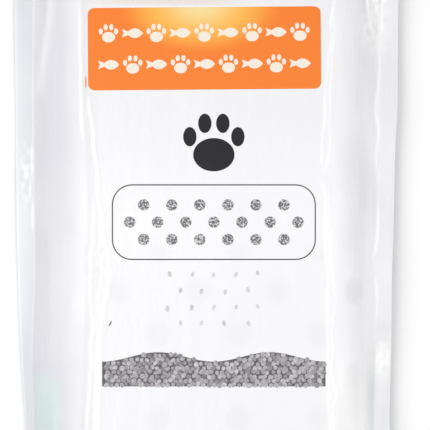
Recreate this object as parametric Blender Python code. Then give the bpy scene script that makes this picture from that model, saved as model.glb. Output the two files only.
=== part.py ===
"""Sealed retail pack of sifting litter box liners, lying on its back with the printed side up.

Two panels of milky film are heat-sealed to each other along all four edges and drawn over
one flat stack of folded liners. Nothing opens or shows through, so the pack is one solid.
It is lofted in closed loops, from the flat top of the stack down the film's slope to the
seal margin, round its edge and back under the pack to the flat that it rests on.

Frame: metres, +Z up out of the printed face, +Y towards the head of the print. The origin
is on the table, under the middle of the pouch.
"""

import math
from dataclasses import dataclass

import bmesh
import bpy
from mathutils import Vector
from mathutils.geometry import delaunay_2d_cdt

# The stack of folded liners
STACK_WIDTH = 0.130
STACK_LENGTH = 0.255
STACK_HEIGHT = 0.016
STACK_CORNER_RADIUS = 0.012
STACK_OFFSET = 0.0015  # the stack sits a little to the right in its pouch
STACK_WAIST = 0.0030  # how far the film draws each long edge in at mid length
BASE_INSET = 0.0040  # the rounded lower edge of the stack, outside the flat it rests on

# The film pouch
SIDE_RUN = 0.0245  # film between the stack and a side seal, seen from above
END_RUN = 0.0225  # film between the stack and an end seal, seen from above
SIDE_SEAL_WIDTH = 0.0105
END_SEAL_WIDTH = 0.0100
SEAL_THICKNESS = 0.0004
SEAL_HEIGHT = 0.0055  # of the seal's inner line above the table, at mid width
SEAL_LEAN = 0.0025  # how much higher the right edge stands, and how much lower the left one
SEAL_DROOP = 0.0015  # how far the seal's outer edge hangs below its inner line
SEAL_INNER_RADIUS = 0.0050
POUCH_CORNER_RADIUS = 0.0025
LEFT_DRAW_IN = 0.0082  # how far the full pouch draws each side edge in towards the foot
RIGHT_DRAW_IN = 0.0059
LEFT_DRAW_CURVE = 2.6  # above 1, the edge curves in more the nearer it is to the foot
RIGHT_DRAW_CURVE = 1.3
FOOT_RELEASE = 0.050  # length at the foot over which the side edges spread again
TOP_FULLNESS = 1.7  # above 1, the film bulges before it falls to the seal
BASE_FULLNESS = 1.6

# Creases and folds of the film
WAVE_SECOND_RATE = 0.6  # a second, slower wave keeps each row of folds from repeating
WAVE_SECOND_SHARE = 0.6
CREASE_BAND = 0.0024  # strip of creased film along the stack's edge
CREASE_HEIGHT = 0.0007
CREASE_GROOVE = 0.0003
CREASE_OUTER_SHARE = 0.8  # height of the outer ridge, of the inner one's
CREASE_TURN = 9.0  # how far the ridges are out of step with each other, in radians
END_CREASE_SHARE = 0.25  # of the ridges' height that is left across the ends
LEFT_CREASE_BOW = 0.0060  # how far the inner crease bows inwards, on each side
RIGHT_CREASE_BOW = 0.0020
CREASE_BOW_CENTRE = -0.025  # along the pack
GATHER_HEIGHT = 0.0011
GATHER_PITCH = 0.0160
GATHER_REACH = 0.034  # how far the gathers run round the corners, along each side
BASE_GATHER = 0.22  # how strongly the gathers swell the back film, of its own height
SIDE_WAVE_HEIGHT = 0.0008
SIDE_WAVE_LENGTH = 0.047
SEAL_WAVE_HEIGHT = 0.0009
SEAL_WAVE_LENGTH = 0.088
SEAL_WAVE_SLANT = 0.7  # how far the seal's waves lean across the pack

# Print on the front panel. Margins are measured from the edge of the flat top.
HEADER_SIDE_MARGIN = 0.0005
HEADER_HEAD_MARGIN = 0.0242
HEADER_LENGTH = 0.0430
HEADER_CORNER_RADIUS = 0.0034
GLOW_HALF_WIDTH = 0.0350
GLOW_HEIGHT = 0.0165
GLOW_CORE_SHARE = 0.62
MOTIF_SIZE = 0.0100
MOTIF_PITCH = 0.0122
MOTIF_COLUMNS = 9
MOTIF_ROW_PITCH = 0.0163
PAW_SIZE = 0.0340
PAW_PAD = ((0.0, -0.18), (0.31, 0.25))  # centre, and half width and height, of the mark's size
PAW_TOES = ((-0.36, 0.09), (-0.135, 0.29), (0.135, 0.29), (0.36, 0.09))
PAW_TOE = (0.10, 0.145)
PAW_GAP = 0.0100  # under the header
FISH_TAIL_START = -0.20  # along the fish, whose nose is at half its length
FISH_TAIL_END = -0.50
FISH_HALF_DEPTH = 0.23
FISH_TAIL_HALF_DEPTH = 0.20
FISH_BODY_END = -0.28
TRAY_SIDE_MARGIN = 0.0040
TRAY_LENGTH = 0.0380
TRAY_GAP = 0.0045  # under the paw mark
TRAY_CORNER_RADIUS = 0.0100
LINE_WIDTH = 0.00045
HOLE_DIAMETER = 0.0058
HOLE_PITCH = 0.0143
HOLE_ROW_PITCH = 0.0088
GRAIN_SIZE = 0.0022
GRAIN_PITCH = 0.0115
GRAIN_ROW_PITCH = 0.0085
GRAIN_GAP = 0.0075  # under the tray
GRAIN_ROWS = 4
GRAIN_COLUMNS = 5
GRAIN_SLIMNESS = 0.65
BED_SIDE_MARGIN = 0.0020
BED_FOOT_MARGIN = 0.0310
BED_LENGTH = 0.0150
BED_SWELL = 0.0024
BED_SWELLS = 2  # along the bed
GRANULE_PITCH = 0.0070
GRANULE_ROW_PITCH = 0.0056
GRANULE_WIDTH = 0.0050
GRANULE_HEIGHT = 0.0042

# Print on the back panel
BACK_FIELD_LENGTH = 0.0720  # measured from the foot of the pouch

# Points around a loop, and loops down a slope
SIDE_POINTS = 48
END_POINTS = 56
CORNER_POINTS = 5
TOP_SLOPE_LOOPS = 7
BASE_SLOPE_LOOPS = 4
SIDE_CROWDING = 0.5  # above 0, the points along a side stand closer towards its ends
BED_POINTS = 24
PRINT_MERGE = 1e-6  # points of the print that are closer than this are one

QUARTER_TURN = math.radians(90)
SHARP_ANGLE = math.radians(50)
FILM_ROUGHNESS = 0.28
COLOURS = {
    "milky_film": (0.90, 0.90, 0.92),
    "header_orange": (1.00, 0.27, 0.06),
    "header_glow": (1.00, 0.50, 0.10),
    "header_glow_core": (1.00, 0.70, 0.30),
    "print_cream": (0.96, 0.88, 0.80),
    "print_charcoal": (0.05, 0.045, 0.055),
    "print_line_grey": (0.25, 0.25, 0.26),
    "print_hole_grey": (0.30, 0.30, 0.31),
    "print_granule_grey": (0.33, 0.31, 0.33),
    "print_granule_light": (0.52, 0.50, 0.52),
    "back_print_green": (0.62, 0.80, 0.74),
}
FILM, ORANGE, GLOW, GLOW_CORE, CREAM, CHARCOAL, LINE, HOLE, GRANULE, GRANULE_LIGHT, GREEN = range(
    len(COLOURS)
)


@dataclass(frozen=True)
class Station:
    """One place around the pack, the same on every loop.

    core runs from -1 to 1 over the straight part of the outline each way, and normal
    points outwards, so a loop's point is core times the straight half plus normal times
    the corner radius.
    """

    core: Vector
    normal: Vector

    def on(self, half_width, half_length, radius):
        """The station's point on a rounded rectangle."""
        straight = Vector((half_width - radius, half_length - radius))
        return self.core * straight + self.normal * radius

    @property
    def side_share(self):
        """1 along the long sides, 0 along the ends."""
        return abs(self.normal.x)


@dataclass(frozen=True)
class Fold:
    """A soft ridge in the film of one side slope.

    It runs between two places, each given as its distance along the pack and its share
    of the way from the stack's edge to the seal.
    """

    side: int
    start: tuple
    end: tuple
    height: float
    width: float

    def rise(self, core_x, share, y):
        """How far the ridge lifts the film at this place on the slope."""
        if core_x * self.side <= 0:
            return 0.0
        start, end, place = (
            Vector((along, SIDE_RUN * across))
            for along, across in (self.start, self.end, (y, share))
        )
        way = end - start
        reached = min(1.0, max(0.0, (place - start).dot(way) / way.length_squared))
        beside = (place - start - way * reached).length / self.width
        return self.height * math.sin(math.pi * reached) ** 0.5 * bump(beside)


LEFT, RIGHT = -1, 1
FOLDS = (
    Fold(LEFT, (0.112, 0.60), (0.050, 0.95), 0.0016, 0.0035),
    Fold(LEFT, (0.040, 0.98), (-0.030, 0.80), 0.0009, 0.0025),
    Fold(LEFT, (-0.050, 0.20), (-0.118, 0.55), 0.0012, 0.0040),
    Fold(RIGHT, (0.125, 0.45), (0.070, 0.92), 0.0015, 0.0030),
    Fold(RIGHT, (0.100, 0.95), (0.060, 0.75), 0.0010, 0.0022),
    Fold(RIGHT, (0.015, 0.95), (-0.060, 0.85), 0.0010, 0.0025),
    Fold(RIGHT, (-0.060, 0.15), (-0.122, 0.40), 0.0012, 0.0040),
)


def spread(count, crowding=0.0):
    """Values from -1 up to, but not including, 1, closer together at both ends if crowded."""
    even = [2 * i / count - 1 for i in range(count)]
    return [(1 - crowding) * t + crowding * math.sin(QUARTER_TURN * t) for t in even]


def stations():
    """All stations, counter-clockwise from the foot of the right side."""
    found = []
    side_run = spread(SIDE_POINTS, SIDE_CROWDING)
    end_run = spread(END_POINTS)
    runs = (
        (side_run, Vector((1, 0)), Vector((0, 1))),
        (end_run, Vector((0, 1)), Vector((-1, 0))),
        (side_run, Vector((-1, 0)), Vector((0, -1))),
        (end_run, Vector((0, -1)), Vector((1, 0))),
    )
    for run, normal, along in runs:
        found += [Station(normal + along * t, normal) for t in run]
        corner = normal + along
        for i in range(CORNER_POINTS):
            turn = QUARTER_TURN * i / CORNER_POINTS
            found.append(Station(corner, normal * math.cos(turn) + along * math.sin(turn)))
    return found


def smooth_step(value):
    """0 below 0, 1 above 1, and an even curve between."""
    t = min(1.0, max(0.0, value))
    return t * t * (3 - 2 * t)


def bump(value):
    """1 at 0, falling to nothing about 2 away."""
    return math.exp(-value * value)


def uneven_wave(place, pitch, offset):
    """A wave between -1 and 1 that doesn't repeat itself exactly."""
    turn = 2 * math.pi * place / pitch
    second = math.sin(WAVE_SECOND_RATE * turn + 2 * offset)
    return (math.sin(turn + offset) + WAVE_SECOND_SHARE * second) / (1 + WAVE_SECOND_SHARE)


def seal_half_size():
    """Half width and half length of the outline that the seals' inner lines make."""
    return Vector((STACK_WIDTH / 2 + SIDE_RUN, STACK_LENGTH / 2 + END_RUN))


def pouch_half_size():
    """Half width and half length of the pouch's flat outline."""
    return seal_half_size() + Vector((SIDE_SEAL_WIDTH, END_SEAL_WIDTH))


def draw_in(side, y):
    """How far the full pouch draws this side's edge in at this place along it."""
    full, curve = LEFT_DRAW_IN, LEFT_DRAW_CURVE
    if side > 0:
        full, curve = RIGHT_DRAW_IN, RIGHT_DRAW_CURVE
    half_length = pouch_half_size().y
    from_head = (half_length - y) / (2 * half_length)
    release = smooth_step((half_length + y) / FOOT_RELEASE)
    return full * max(0.0, from_head) ** curve * release


def waist(y):
    """How far the stack's long edge is drawn in at this place along it."""
    return STACK_WAIST * math.cos(math.pi * y / STACK_LENGTH) ** 2


def gather(station):
    """Folds that fan out over an end and its corners, and die out along the sides."""
    seal = seal_half_size()
    along_end = abs(station.core.x) * seal.x
    along_side = (1 - abs(station.core.y)) * seal.y
    place = math.copysign(along_end + along_side, station.core.x)
    return uneven_wave(place, GATHER_PITCH, station.core.y) * bump(along_side / GATHER_REACH)


def side_wave(station, y):
    """Long shallow waves down the film's side slopes."""
    return station.side_share * uneven_wave(y, SIDE_WAVE_LENGTH, station.core.x)


def seal_wave(point):
    """The seal margin's own slow rise and fall."""
    place = point.y + SEAL_WAVE_SLANT * point.x
    return SEAL_WAVE_HEIGHT * uneven_wave(place, SEAL_WAVE_LENGTH, 0)


def stack_point(station, inset):
    """A station's place on the stack's outline, moved inwards by inset."""
    half = Vector((STACK_WIDTH, STACK_LENGTH)) / 2
    radius = max(STACK_CORNER_RADIUS - inset, STACK_CORNER_RADIUS / 4)
    point = station.on(half.x - inset, half.y - inset, radius)
    point.x -= station.core.x * waist(point.y)
    point.x += STACK_OFFSET
    return point


def crease_point(station, share):
    """A place across the creased strip: share is 0 on the stack's edge and 1 on its flat top."""
    bow = RIGHT_CREASE_BOW if station.core.x > 0 else LEFT_CREASE_BOW
    point = stack_point(station, CREASE_BAND * share)
    bowed = bow * bump((point.y - CREASE_BOW_CENTRE) / (STACK_LENGTH / 4))
    point.x -= math.copysign(bowed * share * station.side_share, station.core.x)
    return point


def seal_point(station, share):
    """A place across the seal margin: share is 0 on its inner line and 1 on the pouch's edge."""
    margin = Vector((SIDE_SEAL_WIDTH, END_SEAL_WIDTH)) * (1 - share)
    half = pouch_half_size() - margin
    radius = SEAL_INNER_RADIUS + (POUCH_CORNER_RADIUS - SEAL_INNER_RADIUS) * share
    point = station.on(half.x, half.y, radius)
    point.x *= 1 - draw_in(station.core.x, point.y) / half.x
    return point


def seal_level(point, share):
    """Height of the seal's middle, share of the way out across its margin."""
    lean = SEAL_LEAN * point.x / pouch_half_size().x
    return SEAL_HEIGHT + lean - SEAL_DROOP * share + seal_wave(point)


def top_slope_point(station, share):
    """A point of the front film between the stack's edge, at 0, and the seal, at 1."""
    edge = stack_point(station, 0)
    seal = seal_point(station, 0)
    plan = edge.lerp(seal, share)
    low = seal_level(seal, 0) + SEAL_THICKNESS / 2
    fall = share**TOP_FULLNESS
    window = math.sin(math.pi * share)
    z = STACK_HEIGHT + (low - STACK_HEIGHT) * fall
    z += window * GATHER_HEIGHT * gather(station)
    z += window * SIDE_WAVE_HEIGHT * side_wave(station, plan.y)
    z += min(1.0, 2 * window) * sum(fold.rise(station.core.x, share, plan.y) for fold in FOLDS)
    return plan.to_3d() + Vector((0, 0, z))


def base_slope_point(station, share):
    """A point of the back film between the flat it rests on, at 0, and the seal, at 1."""
    edge = stack_point(station, BASE_INSET)
    seal = seal_point(station, 0)
    plan = edge.lerp(seal, share)
    rise = seal_level(seal, 0) - SEAL_THICKNESS / 2
    window = math.sin(math.pi * share)
    swell = 1 + window * BASE_GATHER * gather(station)
    return plan.to_3d() + Vector((0, 0, rise * share**BASE_FULLNESS * swell))


def crease_loops(around):
    """The creased strip, from the flat top outwards: two ridges and the groove between them."""
    ridges = (
        (1.0, 0.0),
        (0.78, CREASE_HEIGHT),
        (0.50, -CREASE_GROOVE),
        (0.20, CREASE_HEIGHT * CREASE_OUTER_SHARE),
    )
    loops = []
    for share, rise in ridges:
        loop = []
        for station in around:
            point = crease_point(station, share)
            wave = uneven_wave(point.y, SIDE_WAVE_LENGTH, CREASE_TURN * share + station.core.x)
            strength = END_CREASE_SHARE + (1 - END_CREASE_SHARE) * station.side_share
            z = STACK_HEIGHT + rise * strength * (1 + wave) / 2
            loop.append(point.to_3d() + Vector((0, 0, z)))
        loops.append(loop)
    return loops


def seal_loops(around):
    """The seal margin's outer edge, upper side and then lower side."""
    loops = []
    for side in (1, -1):
        loop = []
        for station in around:
            point = seal_point(station, 1)
            z = seal_level(point, 1) + side * SEAL_THICKNESS / 2
            loop.append(point.to_3d() + Vector((0, 0, z)))
        loops.append(loop)
    return loops


def all_loops(around):
    """Every loop from the flat top, round the seal, to the flat underneath."""
    top = [i / TOP_SLOPE_LOOPS for i in range(TOP_SLOPE_LOOPS + 1)]
    base = [1 - i / BASE_SLOPE_LOOPS for i in range(BASE_SLOPE_LOOPS + 1)]
    return [
        *crease_loops(around),
        *[[top_slope_point(s, share) for s in around] for share in top],
        *seal_loops(around),
        *[[base_slope_point(s, share) for s in around] for share in base],
    ]


def rounded_rectangle(centre, size, radius, arc_points=5):
    """Outline of a rounded rectangle."""
    half = Vector(size) / 2
    radius = min(radius, half.x, half.y)
    points = []
    for quarter in range(4):
        corner = half - Vector((radius, radius))
        corner.x *= 1 if quarter in (0, 3) else -1
        corner.y *= 1 if quarter in (0, 1) else -1
        for i in range(arc_points + 1):
            turn = QUARTER_TURN * (quarter + i / arc_points)
            way = Vector((math.cos(turn), math.sin(turn)))
            points.append(Vector(centre) + corner + way * radius)
    return points


def ellipse(centre, half_width, half_height, count=12):
    """Outline of an ellipse."""
    points = []
    for i in range(count):
        turn = 4 * QUARTER_TURN * i / count
        reach = Vector((half_width * math.cos(turn), half_height * math.sin(turn)))
        points.append(Vector(centre) + reach)
    return points


def hanging_glow(crown, half_width, height, count=20):
    """Outline of the lower half of an ellipse, which hangs from the header's upper edge."""
    points = []
    for i in range(count + 1):
        turn = 2 * QUARTER_TURN * (1 + i / count)
        reach = Vector((half_width * math.cos(turn), height * math.sin(turn)))
        points.append(Vector(crown) + reach)
    return points


def header_print(left, right, foot, head):
    """The orange panel with its warm glow, and two rows of small paws and fish by turns."""
    centre = Vector(((left + right) / 2, (head + foot) / 2))
    size = Vector((right - left, head - foot))
    shapes = [(rounded_rectangle(centre, size, HEADER_CORNER_RADIUS), ORANGE)]
    for share, colour in ((1.0, GLOW), (GLOW_CORE_SHARE, GLOW_CORE)):
        glow = hanging_glow((centre.x, head), GLOW_HALF_WIDTH * share, GLOW_HEIGHT * share)
        shapes.append((glow, colour))
    for row in range(2):
        for column in range(MOTIF_COLUMNS):
            across = (column - (MOTIF_COLUMNS - 1) / 2) * MOTIF_PITCH
            place = centre + Vector((across, (0.5 - row) * MOTIF_ROW_PITCH))
            is_paw = (row + column) % 2 == 0
            outlines = paw_outlines(place, MOTIF_SIZE, 10) if is_paw else [fish_outline(place)]
            shapes += [(outline, CREAM) for outline in outlines]
    return shapes


def paw_outlines(centre, width, pad_points):
    """Outlines of a plain paw mark: one broad pad and four toes."""
    place, half_size = (Vector(pair) * width for pair in PAW_PAD)
    toe_half_size = Vector(PAW_TOE) * width
    outlines = [ellipse(centre + place, *half_size, pad_points)]
    for toe in PAW_TOES:
        place = centre + Vector(toe) * width
        outlines.append(ellipse(place, *toe_half_size, pad_points * 2 // 3))
    return outlines


def fish_outline(centre, count=5):
    """Outline of a plain fish: a pointed oval body, and a notched tail."""
    upper = []
    for i in range(count):
        along = 0.5 + (FISH_BODY_END - 0.5) * i / count
        depth = FISH_HALF_DEPTH * math.sin(math.pi * i / count)
        upper.append(Vector((along, depth)))
    tail = [
        Vector((FISH_TAIL_START, FISH_TAIL_HALF_DEPTH / 4)),
        Vector((FISH_TAIL_END, FISH_TAIL_HALF_DEPTH)),
    ]
    notch = Vector(((FISH_TAIL_START + FISH_TAIL_END * 2) / 3, 0))
    half = upper[:1] + [p for p in upper[1:] if p.x > FISH_TAIL_START] + tail
    outline = half + [notch] + [Vector((p.x, -p.y)) for p in reversed(half[1:])]
    return [centre + point * MOTIF_SIZE for point in outline]


def staggered(room, pitch, row_pitch):
    """Places of a staggered pattern that fit in a box of half size room, around its middle."""
    places = []
    rows = int(room.y / row_pitch)
    columns = int(room.x / pitch)
    for row in range(-rows, rows + 1):
        shift = pitch / 2 * (row % 2)
        for column in range(-columns - 1, columns + 1):
            x = shift + pitch * column
            if abs(x) <= room.x:
                places.append(Vector((x, row * row_pitch)))
    return places


def sieve_print(centre, size):
    """A tray drawn in one thin line, filled with staggered round holes."""
    inner = Vector(size) - Vector((2, 2)) * LINE_WIDTH
    shapes = [
        (rounded_rectangle(centre, size, TRAY_CORNER_RADIUS), LINE),
        (rounded_rectangle(centre, inner, TRAY_CORNER_RADIUS - LINE_WIDTH), FILM),
    ]
    room = Vector(size) / 2 - Vector((1, 1)) * HOLE_DIAMETER
    for place in staggered(room, HOLE_PITCH, HOLE_ROW_PITCH):
        hole = ellipse(centre + place, HOLE_DIAMETER / 2, HOLE_DIAMETER / 2)
        shapes.append((hole, HOLE))
    return shapes


def grain_print(centre_x, top):
    """Small grains in even, staggered rows."""
    shapes = []
    for row in range(GRAIN_ROWS):
        count = GRAIN_COLUMNS - row % 2
        for i in range(count):
            x = centre_x + (i - (count - 1) / 2) * GRAIN_PITCH
            grain = Vector((x, top - row * GRAIN_ROW_PITCH))
            outline = ellipse(grain, GRAIN_SIZE / 2 * GRAIN_SLIMNESS, GRAIN_SIZE / 2, 6)
            shapes.append((outline, GRANULE_LIGHT))
    return shapes


def bed_print(left, right, foot):
    """A level bed of granules with a gently swelling top."""
    middle = (left + right) / 2

    def top_at(x):
        turn = 2 * math.pi * BED_SWELLS * (x - left) / (right - left)
        return foot + BED_LENGTH - BED_SWELL * math.cos(turn)

    outline = [Vector((left, foot)), Vector((right, foot))]
    for i in range(BED_POINTS + 1):
        x = right + (left - right) * i / BED_POINTS
        outline.append(Vector((x, top_at(x))))
    shapes = [(outline, GRANULE)]
    room = Vector(((right - left - GRANULE_PITCH) / 2, BED_LENGTH + BED_SWELL))
    for place in staggered(room, GRANULE_PITCH, GRANULE_ROW_PITCH):
        granule = Vector((middle, foot + GRANULE_ROW_PITCH / 2)) + place
        if foot < granule.y < top_at(granule.x) - GRANULE_HEIGHT / 2:
            shapes.append((ellipse(granule, GRANULE_WIDTH / 2, GRANULE_HEIGHT / 2, 6), GRANULE_LIGHT))
    return shapes


def flat_span(flat, foot, head):
    """Left and right limits of the flat top between two places along the pack."""
    slack = 2 * STACK_LENGTH / SIDE_POINTS
    near = [p.x for p in flat if foot - slack < p.y < head + slack]
    return max(x for x in near if x < 0), min(x for x in near if x > 0)


def front_print(flat):
    """Every printed shape of the front panel, lowest first, for this outline of the flat top."""
    flat_foot = min(p.y for p in flat)
    head = max(p.y for p in flat) - HEADER_HEAD_MARGIN
    foot = head - HEADER_LENGTH
    left, right = flat_span(flat, foot, head)
    shapes = header_print(left + HEADER_SIDE_MARGIN, right - HEADER_SIDE_MARGIN, foot, head)

    paw_foot = foot - PAW_GAP - PAW_SIZE
    tray_head = paw_foot - TRAY_GAP
    left, right = flat_span(flat, tray_head - TRAY_LENGTH, tray_head)
    middle = (left + right) / 2
    paw = paw_outlines(Vector((middle, paw_foot + PAW_SIZE / 2)), PAW_SIZE, 24)
    shapes += [(outline, CHARCOAL) for outline in paw]
    tray = Vector((middle, tray_head - TRAY_LENGTH / 2))
    shapes += sieve_print(tray, Vector((right - left - 2 * TRAY_SIDE_MARGIN, TRAY_LENGTH)))

    shapes += grain_print(middle, tray_head - TRAY_LENGTH - GRAIN_GAP)
    bed_foot = flat_foot + BED_FOOT_MARGIN
    left, right = flat_span(flat, bed_foot, bed_foot + BED_LENGTH + BED_SWELL)
    shapes += bed_print(left + BED_SIDE_MARGIN, right - BED_SIDE_MARGIN, bed_foot)
    return shapes


def fill_flat(mesh, loop, shapes):
    """Fills a level loop with triangles that follow the printed shapes.

    Args:
        mesh: the BMesh that holds the loop.
        loop: its vertices, counter-clockwise seen from outside.
        shapes: (outline, colour) for each printed shape, lowest first.
    """
    outlines = [[v.co.to_2d() for v in loop], *[outline for outline, _ in shapes]]
    colours = [FILM, *[colour for _, colour in shapes]]
    points = []
    faces = []
    for outline in outlines:
        faces.append(list(range(len(points), len(points) + len(outline))))
        points += outline
    inside_only = 1
    flat, _, cells, from_points, _, from_faces = delaunay_2d_cdt(
        points, [], faces, inside_only, PRINT_MERGE, True
    )
    level = loop[0].co.z
    corners = []
    for place, origins in zip(flat, from_points):
        on_loop = [i for i in origins if i < len(loop)]
        corners.append(loop[on_loop[0]] if on_loop else mesh.verts.new((*place, level)))
    for cell, origins in zip(cells, from_faces):
        if not origins:
            continue  # it fills a hollow in the loop's outer side
        face = mesh.faces.new([corners[i] for i in cell])
        face.material_index = colours[max(origins)]


def bridge(mesh, outer, inner, colours):
    """Joins two loops of vertices by a band of quads, with a colour for each."""
    for i, colour in enumerate(colours):
        j = (i + 1) % len(colours)
        face = mesh.faces.new((outer[i], outer[j], inner[j], inner[i]))
        face.material_index = colour


def fill_base(mesh, loop, in_field):
    """Fills the flat underneath, with the printed field across its foot."""
    count = len(loop)
    length = sum(in_field)
    first = next(i for i in range(count) if in_field[i] and not in_field[i - 1])
    field = [loop[(first + i) % count] for i in range(length)]
    rest = [loop[(first + length - 1 + i) % count] for i in range(count - length + 2)]
    for ring, colour in ((field, GREEN), (rest, FILM)):
        face = mesh.faces.new(list(reversed(ring)))
        face.material_index = colour


def pouch_mesh():
    """The whole pack as one closed surface."""
    around = stations()
    count = len(around)
    mesh = bmesh.new()
    loops = [[mesh.verts.new(point) for point in loop] for loop in all_loops(around)]
    field_edge = BACK_FIELD_LENGTH / pouch_half_size().y - 1
    in_field = [station.core.y < field_edge for station in around]
    field_band = [in_field[i] and in_field[(i + 1) % count] for i in range(count)]
    under_loops = BASE_SLOPE_LOOPS + 1
    for number, (upper, lower) in enumerate(zip(loops, loops[1:])):
        is_under = number >= len(loops) - 1 - under_loops
        bridge(mesh, lower, upper, [GREEN if is_under and here else FILM for here in field_band])
    for face in mesh.faces:
        face.smooth = True
    flat = loops[0]
    fill_flat(mesh, flat, front_print([v.co.to_2d() for v in flat]))
    fill_base(mesh, loops[-1], in_field)
    return mesh


def finish(name, colour):
    """A Principled material for one colour of the pack."""
    material = bpy.data.materials.new(name)
    material.use_nodes = True
    material.diffuse_color = (*colour, 1.0)
    shader = material.node_tree.nodes["Principled BSDF"]
    shader.inputs["Base Color"].default_value = (*colour, 1.0)
    shader.inputs["Roughness"].default_value = FILM_ROUGHNESS
    shader.inputs["Metallic"].default_value = 0.0
    return material


def main():
    """Clears the scene and makes the pack."""
    for old in list(bpy.data.objects):
        bpy.data.objects.remove(old, do_unlink=True)
    surface = pouch_mesh()
    data = bpy.data.meshes.new("liner_pack")
    surface.to_mesh(data)
    surface.free()
    for name, colour in COLOURS.items():
        data.materials.append(finish(name, colour))
    data.set_sharp_from_angle(angle=SHARP_ANGLE)
    pack = bpy.data.objects.new("liner_pack", data)
    bpy.context.scene.collection.objects.link(pack)


if __name__ == "__main__":
    main()
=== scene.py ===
"""Looks of a sealed pack of sifting litter box liners, lying on its back, print side up.

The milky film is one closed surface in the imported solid's place. Its front follows the
flat stack inside, the slopes down to the seals, and the creases that the film keeps. The
ink lies on it as thin plates that follow the film's rise and fall.

Frame: metres, +Z up out of the printed face, +Y towards the head of the print.
"""

import logging
import math
from collections.abc import Callable
from dataclasses import dataclass, field, fields
from enum import Enum

import bmesh
import bpy
import numpy as np
from mathutils import Matrix, Vector, noise
from mathutils.geometry import delaunay_2d_cdt


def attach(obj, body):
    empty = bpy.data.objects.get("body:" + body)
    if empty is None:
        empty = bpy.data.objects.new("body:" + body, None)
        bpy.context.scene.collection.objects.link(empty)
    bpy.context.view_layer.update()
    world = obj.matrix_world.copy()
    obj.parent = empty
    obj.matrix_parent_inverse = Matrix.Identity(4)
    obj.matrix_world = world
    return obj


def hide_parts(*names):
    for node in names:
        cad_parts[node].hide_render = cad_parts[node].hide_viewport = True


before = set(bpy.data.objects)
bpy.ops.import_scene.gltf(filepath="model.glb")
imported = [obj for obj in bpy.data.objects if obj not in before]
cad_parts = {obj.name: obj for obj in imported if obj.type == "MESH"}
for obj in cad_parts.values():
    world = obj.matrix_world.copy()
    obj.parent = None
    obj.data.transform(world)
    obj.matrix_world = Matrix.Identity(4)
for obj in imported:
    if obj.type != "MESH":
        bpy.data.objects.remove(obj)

Colour = tuple[float, float, float]
Place = tuple[float, float]
Outline = list[Vector]
# A place, and the value there, for each stop of a curve.
Stops = tuple[Place, ...]
# From where something is 0 to where it is full.
Run = tuple[float, float]
# A run up and a run down.
Band = tuple[Run, Run]
# Where something begins, and how much further on it is full.
Onset = tuple[float, float]
# The least that shows, and what is added to it or taken from it where a second value is 1.
Share = tuple[float, float]

CAD_NODE = "liner_pack"
BODY = "root"
QUARTER_TURN = math.radians(90)
TINY = 1e-9
WELD_DISTANCE = 1e-7
INSIDE_ONLY = 1
LOG = logging.getLogger("liner_pack_looks")


class Side(Enum):
    """A long side of the pack, seen from the front."""

    LEFT = -1
    RIGHT = 1


def operator(operation: str, reflected: bool = False) -> Callable[..., "Wire"]:
    """Makes one arithmetic method of Wire, which adds a Math node.

    Args:
        operation: the node's operation.
        reflected: whether the other value comes first.

    Returns:
        The method.
    """
    def method(self: "Wire", other: "Wire | float" = 0.0) -> "Wire":
        """Adds the node."""
        first, second = (other, self) if reflected else (self, other)
        return self.graph.math(operation, first, second)
    return method


class Wire:
    """A node's output, on which arithmetic adds Math nodes. A remainder is never below 0."""

    __add__, __radd__ = operator("ADD"), operator("ADD", True)
    __sub__, __rsub__ = operator("SUBTRACT"), operator("SUBTRACT", True)
    __mul__, __rmul__ = operator("MULTIPLY"), operator("MULTIPLY", True)
    __truediv__ = operator("DIVIDE")
    __mod__ = operator("FLOORED_MODULO")
    __pow__ = operator("POWER")
    __abs__ = operator("ABSOLUTE")
    __round__ = operator("ROUND")

    def __init__(self, graph: "Graph", socket: bpy.types.NodeSocket) -> None:
        """Keeps the socket and the graph that it is in."""
        self.graph = graph
        self.socket = socket

    def outlet(self, name: str) -> "Wire":
        """Another output of the same node."""
        return Wire(self.graph, self.socket.node.outputs[name])


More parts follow.
